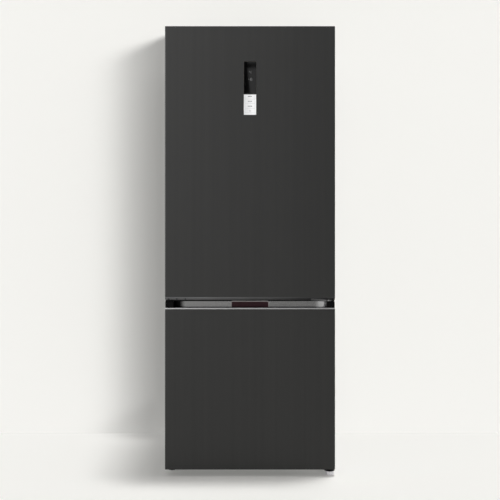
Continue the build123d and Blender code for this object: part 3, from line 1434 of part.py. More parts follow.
def freezer_drawer_z(index):
    """Base and rim heights of a freezer drawer, counted from the bottom."""
    base = FREEZER_FLOOR + index * FREEZER_DRAWER_PITCH + FREEZER_DRAWER_BASE_GAP
    return base, base + FREEZER_DRAWER_HEIGHT


def freezer_drawer_back(index):
    """Rear end of a freezer drawer; those beside the compressor step are shorter."""
    beside_step = freezer_drawer_z(index)[0] < STEP_TOP
    limit = STEP_FRONT if beside_step else COVER_Y
    return limit - FREEZER_DRAWER_REAR_GAP


def freezer_drawer(index):
    """Freezer drawer with a flat front, a hand hole and runner flanges."""
    z = freezer_drawer_z(index)
    front = FREEZER_DRAWER_FRONT
    y = (front, freezer_drawer_back(index))
    half = FREEZER_DRAWER_HALF
    body = tub(half, y, z, DRAWER_WALL, DRAWER_RADIUS, DRAWER_DRAFT)
    panel_z = (z[0], z[1] + FREEZER_FRONT_RISE)
    reach = FREEZER_FRONT + DRAWER_RADIUS
    panel = block((-half, half), (front, front + FREEZER_FRONT), panel_z)
    body += chamfer(panel.edges().filter_by(Axis.Y), FREEZER_FRONT_BEVEL)
    body += runner_flanges(half, FREEZER_HALF, (front + RUNNER_SETBACK, y[1] - DRAWER_RADIUS), z[1])
    hole_z = z[1] - HAND_HOLE_DROP
    seat = Plane(origin=(0, front, hole_z), x_dir=(1, 0, 0), z_dir=(0, 1, 0))
    hole = extrude(soft_rectangle(HAND_HOLE_LENGTH, HAND_HOLE_HEIGHT, HAND_HOLE_CORNER), reach)
    return body - seat * hole


# Each piece under its own name
PIECES = {
    "outer_shell": outer_shell(),
    "back_panel": back_panel(),
    "base_panel": base_panel(),
    "cabinet_foam": cabinet_foam(),
    "fridge_liner": fridge_liner(),
    "freezer_liner": freezer_liner(),
    "centre_rail": centre_rail(),
    "top_hinge_bracket": top_hinge_bracket(),
    "top_hinge_cover": top_hinge_cover(),
    "middle_hinge_bracket": middle_hinge_bracket(),
    "bottom_hinge_bracket": bottom_hinge_bracket(),
    "hinge_pins": hinge_pins(),
    "compressor": compressor(),
    "compressor_base": compressor_base(),
    "compressor_grommets": compressor_grommets(),
    "compressor_terminal_cover": compressor_terminal_cover(),
    "evaporation_tray": evaporation_tray(),
    "condenser_coil": condenser_coil(),
    "condenser_wires": condenser_wires(),
    "condenser_brackets": condenser_brackets(),
    "refrigerant_lines": refrigerant_lines(),
    "roller_axles": pair(roller_axle()),
    "evaporator": evaporator(),
    "evaporator_cover": evaporator_cover(),
    "fan_motor": fan_motor(),
    "fan_rotor": fan_rotor(),
    "fridge_air_duct": fridge_air_duct(),
    "fridge_lamp": fridge_lamp(),
    "glass_shelves": glass_shelves(),
    "shelf_trims": shelf_trims(),
    "fridge_door_skin": fridge_door_skin(),
    "fridge_door_top_cap": fridge_door_top_cap(),
    "fridge_door_bottom_cap": fridge_door_bottom_cap(),
    "fridge_door_foam": fridge_door_foam(),
    "fridge_door_liner": fridge_door_liner(),
    "fridge_door_gasket": gasket(FRIDGE_GASKET_Z),
    "display_panel": control_piece((TOUCH_TOP, CONTROL_TOP)),
    "touch_panel": control_piece((CONTROL_BASE, TOUCH_TOP)),
    "door_bins": door_bins(),
    "fridge_door_bushes": fridge_door_bushes(),
    "freezer_door_skin": door_skin((FREEZER_DOOR_BASE, LIP_BASE)),
    "freezer_door_top_cap": freezer_door_top_cap(),
    "grip_trim": grip_trim(),
    "lip_trim": lip_trim(),
    "grip_badge": grip_badge(),
    "freezer_door_bottom_cap": freezer_door_bottom_cap(),
    "freezer_door_foam": freezer_door_foam(),
    "freezer_door_liner": freezer_door_liner(),
    "freezer_door_gasket": gasket(FREEZER_GASKET_Z),
    "freezer_door_bushes": freezer_door_bushes(),
    "crisper_drawer": crisper_drawer(),
    "chiller_drawer": chiller_drawer(),
    "freezer_drawer_lower": freezer_drawer(0),
    "freezer_drawer_middle": freezer_drawer(1),
    "freezer_drawer_upper": freezer_drawer(2),
    "rear_roller_right": roller(),
    "rear_roller_left": mirror(roller(), about=Plane.YZ),
    "front_foot_right": foot(PIN_X, PIN_Y),
    "front_foot_left": foot(LEFT_FOOT_X, LEFT_FOOT_Y),
}

os.makedirs("parts", exist_ok=True)
for name, piece in PIECES.items():
    export_step(piece, f"parts/{name}.step")
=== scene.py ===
import json
import math

import bmesh
import bpy
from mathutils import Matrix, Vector


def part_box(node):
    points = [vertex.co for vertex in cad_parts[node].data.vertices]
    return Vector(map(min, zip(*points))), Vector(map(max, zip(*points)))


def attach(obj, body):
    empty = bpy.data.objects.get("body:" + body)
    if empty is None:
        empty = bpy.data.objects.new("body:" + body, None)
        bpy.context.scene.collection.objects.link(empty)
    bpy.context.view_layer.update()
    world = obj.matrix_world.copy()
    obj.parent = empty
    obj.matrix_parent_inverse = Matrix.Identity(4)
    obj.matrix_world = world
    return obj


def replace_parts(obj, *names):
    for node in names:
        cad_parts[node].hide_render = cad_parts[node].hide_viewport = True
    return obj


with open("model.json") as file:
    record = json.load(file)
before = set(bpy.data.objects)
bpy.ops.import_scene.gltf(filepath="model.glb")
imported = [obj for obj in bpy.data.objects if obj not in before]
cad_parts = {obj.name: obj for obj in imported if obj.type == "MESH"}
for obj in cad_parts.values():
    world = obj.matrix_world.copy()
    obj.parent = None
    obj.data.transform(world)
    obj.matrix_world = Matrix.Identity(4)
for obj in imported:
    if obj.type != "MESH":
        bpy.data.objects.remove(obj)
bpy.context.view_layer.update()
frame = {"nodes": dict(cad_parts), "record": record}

MM = 0.001
nodes = frame["nodes"]


def srgb(*levels):
    """Linear colour of display levels from 0 to 255; one level gives a grey."""
    levels = levels * 3 if len(levels) == 1 else levels
    shares = [level / 255 for level in levels]
    return tuple(s / 12.92 if s <= 0.04045 else ((s + 0.055) / 1.055) ** 2.4 for s in shares)


# Finishes

PATTERN = (0.3, 0.7)  # the range that holds most of a noise
MIX_FACTOR, MIX_FIRST, MIX_SECOND, MIX_RESULT = 0, 6, 7, 2  # the Mix node's colour sockets


class Finish:
    """Procedural material whose colour, gloss and relief vary over the surface."""

    def __init__(self, name, colour, rough, metallic=0.0, **sockets):
        self.material = bpy.data.materials.new(name)
        self.material.use_nodes = True
        self.tree = self.material.node_tree
        self.shader = self.tree.nodes["Principled BSDF"]
        self.colour = colour
        self.tint = None
        self.normal = None
        self.shader.inputs["Base Color"].default_value = (*colour, 1)
        self.shader.inputs["Roughness"].default_value = rough
        self.shader.inputs["Metallic"].default_value = metallic
        for socket, value in sockets.items():
            self.shader.inputs[socket.replace("_", " ")].default_value = value
        self.place = self.node("ShaderNodeTexCoord").outputs["Object"]

    def node(self, kind, **values):
        made = self.tree.nodes.new(kind)
        for key, value in values.items():
            made.inputs[key.replace("_", " ")].default_value = value
        return made

    def link(self, start, end):
        self.tree.links.new(start, end)

    def ramp(self, source, given, wanted=(0.0, 1.0)):
        """Maps one range of values onto another, held at both ends."""
        made = self.node("ShaderNodeMapRange", From_Min=given[0], From_Max=given[1],
                         To_Min=wanted[0], To_Max=wanted[1])
        self.link(source, made.inputs["Value"])
        return made.outputs["Result"]

    def spread(self, scale):
        mapping = self.node("ShaderNodeMapping", Scale=scale)
        self.link(self.place, mapping.inputs["Vector"])
        return mapping.outputs["Vector"]

    def noise(self, scale, detail):
        made = self.node("ShaderNodeTexNoise", Scale=1.0, Detail=detail)
        self.link(self.spread(scale), made.inputs["Vector"])
        return made.outputs["Fac"]

    def cells(self, scale):
        made = self.node("ShaderNodeTexVoronoi", Scale=1.0)
        self.link(self.spread(scale), made.inputs["Vector"])
        return made.outputs["Color"]

    def waves(self, scale):
        made = self.node("ShaderNodeTexWave", Scale=1.0)
        made.bands_direction = "DIAGONAL"
        self.link(self.spread(scale), made.inputs["Vector"])
        return made.outputs["Fac"]

    def climb(self, low, high, axis):
        """Pattern that rises between two places, in metres along an axis of the shared frame."""
        parted = self.node("ShaderNodeSeparateXYZ")
        self.link(self.place, parted.inputs[0])
        return self.ramp(parted.outputs[axis], (low, high))

    def shade(self, pattern, low, high):
        """Multiplies the colour by a factor that follows a pattern."""
        mix = self.node("ShaderNodeMix")
        mix.data_type = "RGBA"
        mix.blend_type = "MULTIPLY"
        mix.inputs[MIX_FACTOR].default_value = 1.0
        mix.inputs[MIX_FIRST].default_value = (*self.colour, 1)
        if self.tint:
            self.link(self.tint, mix.inputs[MIX_FIRST])
        self.link(self.ramp(pattern, PATTERN, (low, high)), mix.inputs[MIX_SECOND])
        self.tint = mix.outputs[MIX_RESULT]
        self.link(self.tint, self.shader.inputs["Base Color"])
        return self

    def gloss(self, pattern, low, high):
        """Roughness between two values, following a pattern."""
        self.link(self.ramp(pattern, PATTERN, (low, high)), self.shader.inputs["Roughness"])
        return self

    def relief(self, pattern, depth, strength=0.5):
        """Surface relief of a depth in metres, following a pattern."""
        bump = self.node("ShaderNodeBump", Strength=strength, Distance=depth)
        self.link(pattern, bump.inputs["Height"])
        if self.normal:
            self.link(self.normal, bump.inputs["Normal"])
        self.normal = bump.outputs["Normal"]
        self.link(self.normal, self.shader.inputs["Normal"])
        return self


def even(size):
    return (size, size, size)


def brushed(name, colour, rough, metallic, grain):
    """Sheet metal with a fine grain, drawn out along the axis of the smallest scale."""
    made = Finish(name, colour, rough, metallic)
    fine = made.noise(grain, 2.0)
    broad = made.noise(tuple(g / 24 for g in grain), 3.0)
    made.shade(fine, 0.94, 1.06).shade(broad, 0.96, 1.04)
    return made.gloss(fine, rough - 0.05, rough + 0.06).relief(fine, 0.00002, 0.25)


def moulded(name, colour, rough, grain=1600, depth=0.00004, cloud=0.05, **sockets):
    """Moulded plastic or rubber with a spark-eroded texture."""
    made = Finish(name, colour, rough, **sockets)
    made.shade(made.noise(even(14), 4.0), 1 - cloud, 1 + cloud)
    made.gloss(made.noise(even(60), 3.0), rough - 0.05, rough + 0.06)
    return made.relief(made.noise(even(grain), 2.0), depth, 0.4)


def painted(name, colour, rough, metallic=0.0, coat=0.15, shine=0.5):
    """Stove enamel with a slight orange peel."""
    made = Finish(name, colour, rough, metallic, Coat_Weight=coat, Coat_Roughness=0.25,
                  Specular_IOR_Level=shine)
    made.shade(made.noise(even(9), 4.0), 0.985, 1.015)
    made.gloss(made.noise(even(35), 3.0), rough - 0.02, rough + 0.02)
    return made.relief(made.noise(even(420), 1.0), 0.000015, 0.3)


def smoked(name, colour, rough):
    """Dark polished glass with faint wiping marks."""
    made = Finish(name, colour, rough, Specular_IOR_Level=0.36)
    made.shade(made.noise(even(60), 3.0), 0.9, 1.1)
    return made.gloss(made.noise((30, 30, 9), 4.0), rough, rough + 0.03)


def galvanised(name, colour, rough):
    """Zinc coat with its crystal spangle."""
    made = Finish(name, colour, rough, 0.75)
    spangle = made.cells(even(110))
    made.shade(spangle, 0.93, 1.06).shade(made.noise(even(6), 4.0), 0.96, 1.03)
    return made.gloss(spangle, rough - 0.04, rough + 0.06)


def clear(name, colour, alpha, rough):
    """See-through plastic or glass with faint flow marks."""
    made = Finish(name, colour, rough, Alpha=alpha)
    made.shade(made.noise(even(10), 3.0), 0.97, 1.03)
    made.gloss(made.noise(even(45), 2.0), rough - 0.03, rough + 0.05)
    return made.relief(made.noise(even(120), 1.0), 0.00003, 0.2)


FINISHES = {
    "dark_inox": brushed("dark_inox", srgb(50.5, 50.5, 50), 0.42, 0.85, (1300, 1300, 9)),
    "side_paint": painted("side_paint", srgb(70, 70, 69), 0.52, coat=0.0, shine=0.14),
    "zinc_sheet": galvanised("zinc_sheet", srgb(176, 178, 180), 0.42),
    "hinge_steel": brushed("hinge_steel", srgb(150), 0.34, 0.9, (90, 900, 900)),
    "foam": moulded("foam", srgb(222, 205, 160), 0.9, 500, 0.0006),
    "liner_white": moulded("liner_white", srgb(232, 234, 234), 0.34, 220, 0.000008, 0.012),
    "white_plastic": moulded("white_plastic", srgb(226, 228, 228), 0.4, cloud=0.02),
    "black_plastic": moulded("black_plastic", srgb(24, 24, 25), 0.5),
    "grey_plastic": moulded("grey_plastic", srgb(72, 72, 70), 0.42),
    "light_plastic": moulded("light_plastic", srgb(205, 203, 205), 0.35),
    "grip_metal": brushed("grip_metal", srgb(116), 0.18, 1.0, (10, 10, 1500)),
    "lip_metal": brushed("lip_metal", srgb(150), 0.3, 0.85, (10, 1500, 1500)),
    "badge": moulded("badge", srgb(122, 118, 117), 0.3),
    "display_black": smoked("display_black", srgb(3), 0.03),
    "touch_white": moulded("touch_white", srgb(255), 0.2, 500, 0.000002, 0.02),
    "shelf_glass": clear("shelf_glass", srgb(196, 222, 214), 0.32, 0.06),
    "clear_plastic": clear("clear_plastic", srgb(214, 224, 230), 0.4, 0.14),
    "gasket_rubber": moulded("gasket_rubber", srgb(112), 0.6),
    "black_rubber": moulded("black_rubber", srgb(26), 0.7),
    "black_paint": painted("black_paint", srgb(26, 26, 27), 0.38, 0.1),
    "copper": brushed("copper", srgb(186, 130, 104), 0.34, 0.95, even(300)),
    "fin_aluminium": brushed("fin_aluminium", srgb(200, 202, 204), 0.34, 0.95, (200, 900, 200)),
    "pin_steel": brushed("pin_steel", srgb(168, 168, 170), 0.25, 0.95, (200, 200, 1500)),
}
for part in frame["record"]["subparts"]:
    nodes[part["node"]].material_slots[0].material = FINISHES[part["material_slot"]].material

# Finishes that darken towards one end: where it begins and ends, and the two factors. The lip is darker
# along its lowest edge; on the touch plate and at the grip trim's left end the darkening is painted
# shade.
LIP_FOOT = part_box("lip_trim")[0][2]
DARK_EDGE_AND_PAINTED_SHADE = {
    "lip_metal": ((LIP_FOOT + 1.2 * MM, LIP_FOOT + 1.8 * MM, "Z"), (0.16, 1.0)),
    # painted shading: the touch plate is darker on its left than on its right
    "touch_white": ((-0.03, 0.03, "X"), (0.84, 1.0)),
    # painted shade: the trim's left end turns nearly black, standing for the dark surroundings it
    # mirrors
    "grip_metal": ((-0.302, -0.266, "X"), (0.03, 1.0)),
}
for slot, (stretch, factors) in DARK_EDGE_AND_PAINTED_SHADE.items():
    FINISHES[slot].shade(FINISHES[slot].climb(*stretch), *factors)

# Finishes of single pieces
deep_black = moulded("deep_black", srgb(5), 0.6, Specular_IOR_Level=0.06)
arm_steel = brushed("arm_steel", srgb(112), 0.4, 0.9, (90, 900, 900))
cap_painted_shade = moulded("cap_painted_shade", srgb(86), 0.35, Specular_IOR_Level=0.3)
# painted shading: the cap's edge is lighter on the left and darker on the right, as light falls from
# the left
cap_painted_shade.shade(cap_painted_shade.climb(-0.5375, 0.5875, "X"), 1.15, 0.2)
OWN_FINISH = {
    "freezer_door_top_cap": deep_black,
    "bottom_hinge_bracket": deep_black,
    "middle_hinge_bracket": arm_steel,
    "fridge_door_bottom_cap": cap_painted_shade,
}
for node, finish in OWN_FINISH.items():
    nodes[node].material_slots[0].material = finish.material
burgundy = moulded("badge_field", srgb(34, 13, 18), 0.4, Specular_IOR_Level=0.15)
weave = burgundy.waves(even(900))
burgundy.shade(weave, 0.4, 1.7).relief(weave, 0.0002, 0.5)
print_dark = moulded("print_dark", srgb(96), 0.5)
print_pale = moulded("print_pale", srgb(182), 0.5)
print_faint = moulded("print_faint", srgb(206), 0.4)
digit_grey = moulded("digit_grey", srgb(96), 0.4)
lens = moulded("lamp_lens", srgb(244, 244, 238), 0.3,
               Emission_Color=(1, 0.97, 0.9, 1), Emission_Strength=0.6)


# Mesh tools, all in millimetres of the shared frame

OUTWARD = (0, -1, 0)
REARWARD = (0, 1, 0)
UPWARD = (0, 0, 1)
DOWNWARD = (0, 0, -1)


def span(node):
    """Lowest and highest corner of a CAD node."""
    low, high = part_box(node)
    return Vector(low) / MM, Vector(high) / MM


def slab(bm, low, high, bevel=0.0, index=0):
    """Box between two corners; the index goes to a plain box, or to a softened box's edges.

    It is made apart and copied, so that the order of its points is the same each run.
    """
    box = bmesh.new()
    for vert in bmesh.ops.create_cube(box, size=1.0)["verts"]:
        vert.co = Vector([(low[i] + high[i]) / 2 + vert.co[i] * (high[i] - low[i]) for i in range(3)])
    marked = list(box.faces)
    if bevel:
        marked = bmesh.ops.bevel(box, geom=list(box.edges), offset=bevel, segments=2, profile=0.5,
                                 affect="EDGES", clamp_overlap=True)["faces"]
    for face in marked:
        face.material_index = index
    copies = {vert: bm.verts.new(vert.co) for vert in box.verts}
    for face in box.faces:
        bm.faces.new([copies[vert] for vert in face.verts]).material_index = face.material_index
    box.free()


def lathe(bm, profile, origin, axis, steps=24, index=0):
    """Round body through (radius, height) pairs along an axis."""
    turn = Vector(axis).to_track_quat("Z", "Y")
    rings = []
    for radius, height in profile:
        ring = []
        for step in range(steps):
            angle = 2 * math.pi * step / steps
            point = Vector((radius * math.cos(angle), radius * math.sin(angle), height))
            ring.append(bm.verts.new(Vector(origin) + turn @ point))
        rings.append(ring)
    faces = []
    for low, high in zip(rings, rings[1:]):
        for step in range(steps):
            after = (step + 1) % steps
            faces.append(bm.faces.new((low[step], low[after], high[after], high[step])))
    faces.append(bm.faces.new(list(reversed(rings[0]))))
    faces.append(bm.faces.new(rings[-1]))
    for face in faces:
        face.material_index = index


def hoop(bm, section, half, z):
    """Closed section of (inset, y) pairs swept round a rectangle with mitred corners."""
    corners = []
    for inset, y in section:
        x = half - inset
        low, high = z[0] + inset, z[1] - inset
        spots = ((-x, y, low), (x, y, low), (x, y, high), (-x, y, high))
        corners.append([bm.verts.new(spot) for spot in spots])
    for here, after in zip(corners, corners[1:] + corners[:1]):
        for side in range(4):
            follow = (side + 1) % 4
            bm.faces.new((here[side], here[follow], after[follow], after[side]))


def screw(bm, at, axis, radius, height):
    """Pan head with a cross recess drawn as a dark cross on top, which is painted shade."""
    profile = [(radius, 0), (radius, 0.35 * height), (0.85 * radius, 0.8 * height),
               (0.5 * radius, height)]
    lathe(bm, profile, at, axis, 20)
    turn = Vector(axis).to_track_quat("Z", "Y")
    # painted shade: a dark cross on the head stands for the shaded recess
    for long, short in ((0.62, 0.16), (0.16, 0.62)):
        start = len(bm.verts)
        slab(bm, (-long * radius, -short * radius, 0.9 * height),
             (long * radius, short * radius, 1.04 * height), index=1)
        bm.verts.ensure_lookup_table()
        for vert in bm.verts[start:]:
            vert.co = Vector(at) + turn @ vert.co


def settle(name, data, body):
    """Piece that rides on a body, with the materials its data holds."""
    piece = bpy.data.objects.new(name, data)
    bpy.context.scene.collection.objects.link(piece)
    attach(piece, body)
    return piece


def place(name, bm, finishes, body, sharp=20):
    """Turns a millimetre mesh into a piece, with edges sharp from an angle in degrees."""
    bmesh.ops.recalc_face_normals(bm, faces=bm.faces)
    bmesh.ops.scale(bm, vec=(MM, MM, MM), verts=bm.verts)
    mesh = bpy.data.meshes.new(name)
    bm.to_mesh(mesh)
    bm.free()
    for finish in finishes:
        mesh.materials.append(finish.material)
    mesh.polygons.foreach_set("use_smooth", [True] * len(mesh.polygons))
    mesh.set_sharp_from_angle(angle=math.radians(sharp))
    return settle(name, mesh, body)


def bent(points, bend, steps=6):
    """Rigid pipe route with round bends, from its corner points."""
    route = [Vector(points[0])]
    for before, corner, after in zip(points, points[1:], points[2:]):
        here = Vector(corner)
        start = here + (Vector(before) - here).normalized() * bend
        end = here + (Vector(after) - here).normalized() * bend
        for step in range(steps + 1):
            t = step / steps
            route.append(start * (1 - t) ** 2 + here * 2 * t * (1 - t) + end * t ** 2)
    return route + [Vector(points[-1])]


def pipes(name, routes, radius, finish, body):
    """Round pipes along rigid routes."""
    curve = bpy.data.curves.new(name, "CURVE")
    curve.dimensions = "3D"
    curve.bevel_depth = radius * MM
    curve.bevel_resolution = 3
    curve.use_fill_caps = True
    for route in routes:
        spline = curve.splines.new("POLY")
        spline.points.add(len(route) - 1)
        for point, spot in zip(spline.points, route):
            point.co = (*(spot * MM), 1)
        spline.use_smooth = True
    curve.materials.append(finish.material)
    return settle(name, curve, body)


# Control strip in the upper door

SET_BACK = 0.4  # of the glass and the plate from the CAD panels' face
SEAM = 2.0  # height of the dark seam above the touch plate
SEAM_LAP = 0.6
display = span("display_panel")
touch = span("touch_panel")
FACE = display[0].y + SET_BACK


def window(name, corners, slot, seam=0.0):
    """Glass or plate that fills its place in the strip, with any seam above it."""
    low, high = corners
    bm = bmesh.new()
    slab(bm, (low.x, low.y + SET_BACK, low.z), (high.x, high.y, high.z - seam), 0.7)
    if seam:
        slab(bm, (low.x, low.y + SET_BACK + SEAM_LAP, high.z - seam - SEAM_LAP), high, index=1)
    return place(name, bm, [FINISHES[slot], FINISHES["black_plastic"]], "fridge_door")


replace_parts(window("display_glass", display, "display_black"), "display_panel")
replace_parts(window("touch_plate", touch, "touch_white", SEAM), "touch_panel")

SUNK = 0.1  # depth of all printing below the face
DIGIT_RISE, RULE_RISE, MARK_RISE = 0.12, 0.1, 0.15  # and its height above it
SEGMENTS = {"1": "bc", "4": "bcfg", "8": "abcdefg", "-": "g"}
DIGIT_HEIGHT, DIGIT_LINE = 10.5, 1.5


def digit(bm, sign, x, z, width):
    """Seven-bar numeral centred on a point of the display."""
    w, h, t = width / 2, DIGIT_HEIGHT / 2, DIGIT_LINE / 2
    bars = {
        "a": ((-w, h - t), (w, h + t)), "g": ((-w, -t), (w, t)), "d": ((-w, -h - t), (w, t - h)),
        "f": ((-w - t, 0), (t - w, h)), "b": ((w - t, 0), (w + t, h)),
        "e": ((-w - t, -h), (t - w, 0)), "c": ((w - t, -h), (w + t, 0)),
    }
    for bar in SEGMENTS[sign]:
        (x0, z0), (x1, z1) = bars[bar]
        slab(bm, (x + x0, FACE - DIGIT_RISE, z + z0), (x + x1, FACE + SUNK, z + z1))


FRIDGE_DROP, FREEZER_DROP = 44, 73  # of the two readings below the display's top
bm = bmesh.new()
digit(bm, "4", 1.0, display[1].z - FRIDGE_DROP, 6.5)
for sign, x in (("-", -5.0), ("1", -1.5), ("8", 5.5)):
    digit(bm, sign, x, display[1].z - FREEZER_DROP, 5.2)
place("display_digits", bm, [digit_grey], "fridge_door")

TOUCH_TOP = touch[1].z
RULE_DROPS = (3.6, 21.3, 39.0, 59.5, 77.2)
RULE_HALF = 0.5
FIELD_HALF = 20.0
FIELD_TOP, FIELD_FOOT = 3.1, 80
bm = bmesh.new()
for drop in RULE_DROPS:
    z = TOUCH_TOP - drop
    reach = FIELD_HALF - RULE_HALF
    slab(bm, (-reach, FACE - RULE_RISE, z - RULE_HALF), (reach, FACE + SUNK, z + RULE_HALF))
for x in (-FIELD_HALF, FIELD_HALF):
    slab(bm, (x - RULE_HALF, FACE - RULE_RISE, TOUCH_TOP - FIELD_FOOT),
         (x + RULE_HALF, FACE + SUNK, TOUCH_TOP - FIELD_TOP))
place("touch_lines", bm, [print_faint], "fridge_door")

MARKS = ((10.6, 8.0, 0), (30.3, 8.6, 1), (50.5, 9.0, 1))  # drop, half width and finish of the edges
BARS, BAR_GAP, BAR_HALF = 3, 1.0, 1.5
RING_DROP, RING_RADIUS, RING_DOTS, DOT_RADIUS = 70.0, 3.0, 10, 0.8
RING_START, RING_TURN = 120, 33  # degrees, open at the top for the stroke
bm = bmesh.new()
for drop, half, index in MARKS:
    z = TOUCH_TOP - drop
    pitch = 2 * half / BARS
    for step in range(BARS):
        x = -half + step * pitch
        slab(bm, (x, FACE - MARK_RISE, z - BAR_HALF),
             (x + pitch - BAR_GAP, FACE + SUNK, z + BAR_HALF), 0.1, index=index)
ring = TOUCH_TOP - RING_DROP
for step in range(RING_DOTS):
    angle = math.radians(RING_START + step * RING_TURN)
    x, z = RING_RADIUS * math.cos(angle), ring + RING_RADIUS * math.sin(angle)
    lathe(bm, [(DOT_RADIUS, 0), (DOT_RADIUS, 0.25)], (x, FACE + SUNK, z), OUTWARD, 8, 1)
slab(bm, (-0.5, FACE - MARK_RISE, ring + 0.9), (0.5, FACE + SUNK, ring + 4.5), index=1)
place("touch_marks", bm, [print_dark, print_pale], "fridge_door")


# Grip, badge and door edge

RIM = 4.2
TOP_RIM = 2.6
badge = span("grip_badge")
bm = bmesh.new()
slab(bm, (badge[0].x + RIM, badge[0].y + 0.5, badge[0].z + RIM),
     (badge[1].x - RIM, badge[0].y + 0.9, badge[1].z - TOP_RIM), 0.15)
place("badge_inlay", bm, [burgundy], "freezer_door")

PLUG_X = (-334.0, -301.0, -266.0)
PLUG = [(2.9, 0), (2.9, 0.8), (2.2, 1.3), (1.0, 1.5)]
CHAMFER_WAY = (0, -1, -1)
edge, edge_end = span("fridge_door_bottom_cap")
bm = bmesh.new()
for x in PLUG_X:
    lathe(bm, PLUG, (x, edge.y + 4.6, edge.z + 3.6), CHAMFER_WAY, 20)
place("edge_plugs", bm, [deep_black], "fridge_door")

# Soft stop on the lower door, plug in the upper door and end piece on the hinge arm
cap = span("freezer_door_top_cap")
bm = bmesh.new()
slab(bm, (cap[0].x + 1, cap[0].y + 5, cap[1].z - 0.2),
     (cap[0].x + 20, cap[1].y - 12, cap[1].z + 6), 1.2)
place("door_bumper", bm, [deep_black], "freezer_door")

bm = bmesh.new()
slab(bm, (343, edge.y + 9, edge.z - 1.3), (edge_end.x - 0.6, edge.y + 44, edge.z + 5.2), 0.8)
place("hinge_plug", bm, [deep_black], "fridge_door")

arm = span("middle_hinge_bracket")[1].x
bm = bmesh.new()
slab(bm, (arm - 1, -318, cap[1].z + 0.8), (edge_end.x - 0.7, -298, edge.z - 1.7), 1.0)
place("hinge_end", bm, [deep_black], "cabinet")

BEAD_HALF = 1.6
grip = span("grip_trim")
bm = bmesh.new()
for x in (grip[0].x, grip[1].x):
    slab(bm, (x - BEAD_HALF, grip[0].y - 1.15, grip[0].z + 0.2),
         (x + BEAD_HALF, grip[0].y + 0.1, grip[1].z - 0.2), 0.4)
place("grip_beads", bm, [deep_black], "freezer_door")


# Gaskets with a folded bellows behind the magnet strip

BELLOWS = [
    (0.8, 11.65), (17.2, 11.65), (18.0, 10.8), (18.0, 7.4), (16.2, 6.4), (14.0, 5.6), (12.6, 4.6),
    (15.2, 3.2), (13.0, 1.8), (13.0, 0.0), (5.0, 0.0), (5.0, 1.8), (2.8, 3.2), (5.4, 4.6), (4.0, 5.6),
    (1.8, 6.4), (0.0, 7.4), (0.0, 10.8),
]
for door in ("fridge_door", "freezer_door"):
    low, high = span(door + "_gasket")
    bm = bmesh.new()
    hoop(bm, [(inset, low.y + y) for inset, y in BELLOWS], high.x, (low.z, high.z))
    seal = place(door + "_bellows", bm, [FINISHES["gasket_rubber"]], door, 50)
    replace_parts(seal, door + "_gasket")


# Compressor, condenser and lines

FOOT_PLATE = 4
PLATE_HALF = 52
DOME = 32
DOME_STEPS = 8
SEAM_PLACE = 0.65  # share of the can's height
HOT_RISE, COLD_RISE = 100, 70  # of the two pipe stubs above the foot plate
STUB = [(6.5, 0), (6.5, 8), (5, 10), (5, 20)]
STUB_FOOT = 66
BOLT_X, BOLT_Y = 79, 36
low, high = span("compressor")
CAN = Vector(((low.x + high.x) / 2, (low.y + high.y) / 2, low.z + FOOT_PLATE))
RADIUS = (high.y - low.y) / 2
tall = high.z - CAN.z
turns = [math.radians(90 * step / DOME_STEPS) for step in range(DOME_STEPS + 1)]
seam = SEAM_PLACE * tall
profile = [(RADIUS - DOME + DOME * math.sin(turn), DOME - DOME * math.cos(turn)) for turn in turns]
profile += [(RADIUS, seam - 2.5), (RADIUS + 1.4, seam - 1.9),
            (RADIUS + 1.4, seam + 1.9), (RADIUS, seam + 2.5)]
profile += [(RADIUS - DOME + DOME * math.cos(turn), tall - DOME + DOME * math.sin(turn))
            for turn in turns]
bm = bmesh.new()
lathe(bm, profile, CAN, UPWARD, 64)
slab(bm, (low.x, CAN.y - PLATE_HALF, low.z), (high.x, CAN.y + PLATE_HALF, CAN.z), 1.2)
for way, rise in ((-1, COLD_RISE), (1, HOT_RISE)):
    lathe(bm, STUB, CAN + Vector((way * STUB_FOOT, 0, rise)), (way, 0, 0))
can = place("compressor_can", bm, [FINISHES["black_paint"]], "cabinet")
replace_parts(can, "compressor")

bm = bmesh.new()
for dx in (-BOLT_X, BOLT_X):
    for dy in (-BOLT_Y, BOLT_Y):
        bolt = CAN + Vector((dx, dy, 0))
        lathe(bm, [(9, 0), (9, 1.2)], bolt, UPWARD)
        lathe(bm, [(5.5, 1.2), (5.5, 5.4), (4.8, 6.2)], bolt, UPWARD, 6)
place("compressor_bolts", bm, [FINISHES["pin_steel"]], "cabinet")

PIPE = 2.6
RUNS = 13
RUN_HALF = 225
low, high = span("condenser_coil")
COIL_Y = (low.y + high.y) / 2
COIL_Z = (low.z + PIPE, high.z - PIPE)
PITCH = (COIL_Z[1] - COIL_Z[0]) / (RUNS - 1)
corners = []
for run in range(RUNS):
    z = COIL_Z[0] + PITCH * run
    ends = (-RUN_HALF, RUN_HALF) if run % 2 == 0 else (RUN_HALF, -RUN_HALF)
    corners += [(ends[0], COIL_Y, z), (ends[1], COIL_Y, z)]
coil = pipes("condenser_tube", [bent(corners, PITCH / 2 - 2)], PIPE, FINISHES["black_paint"],
             "cabinet")
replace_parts(coil, "condenser_coil")

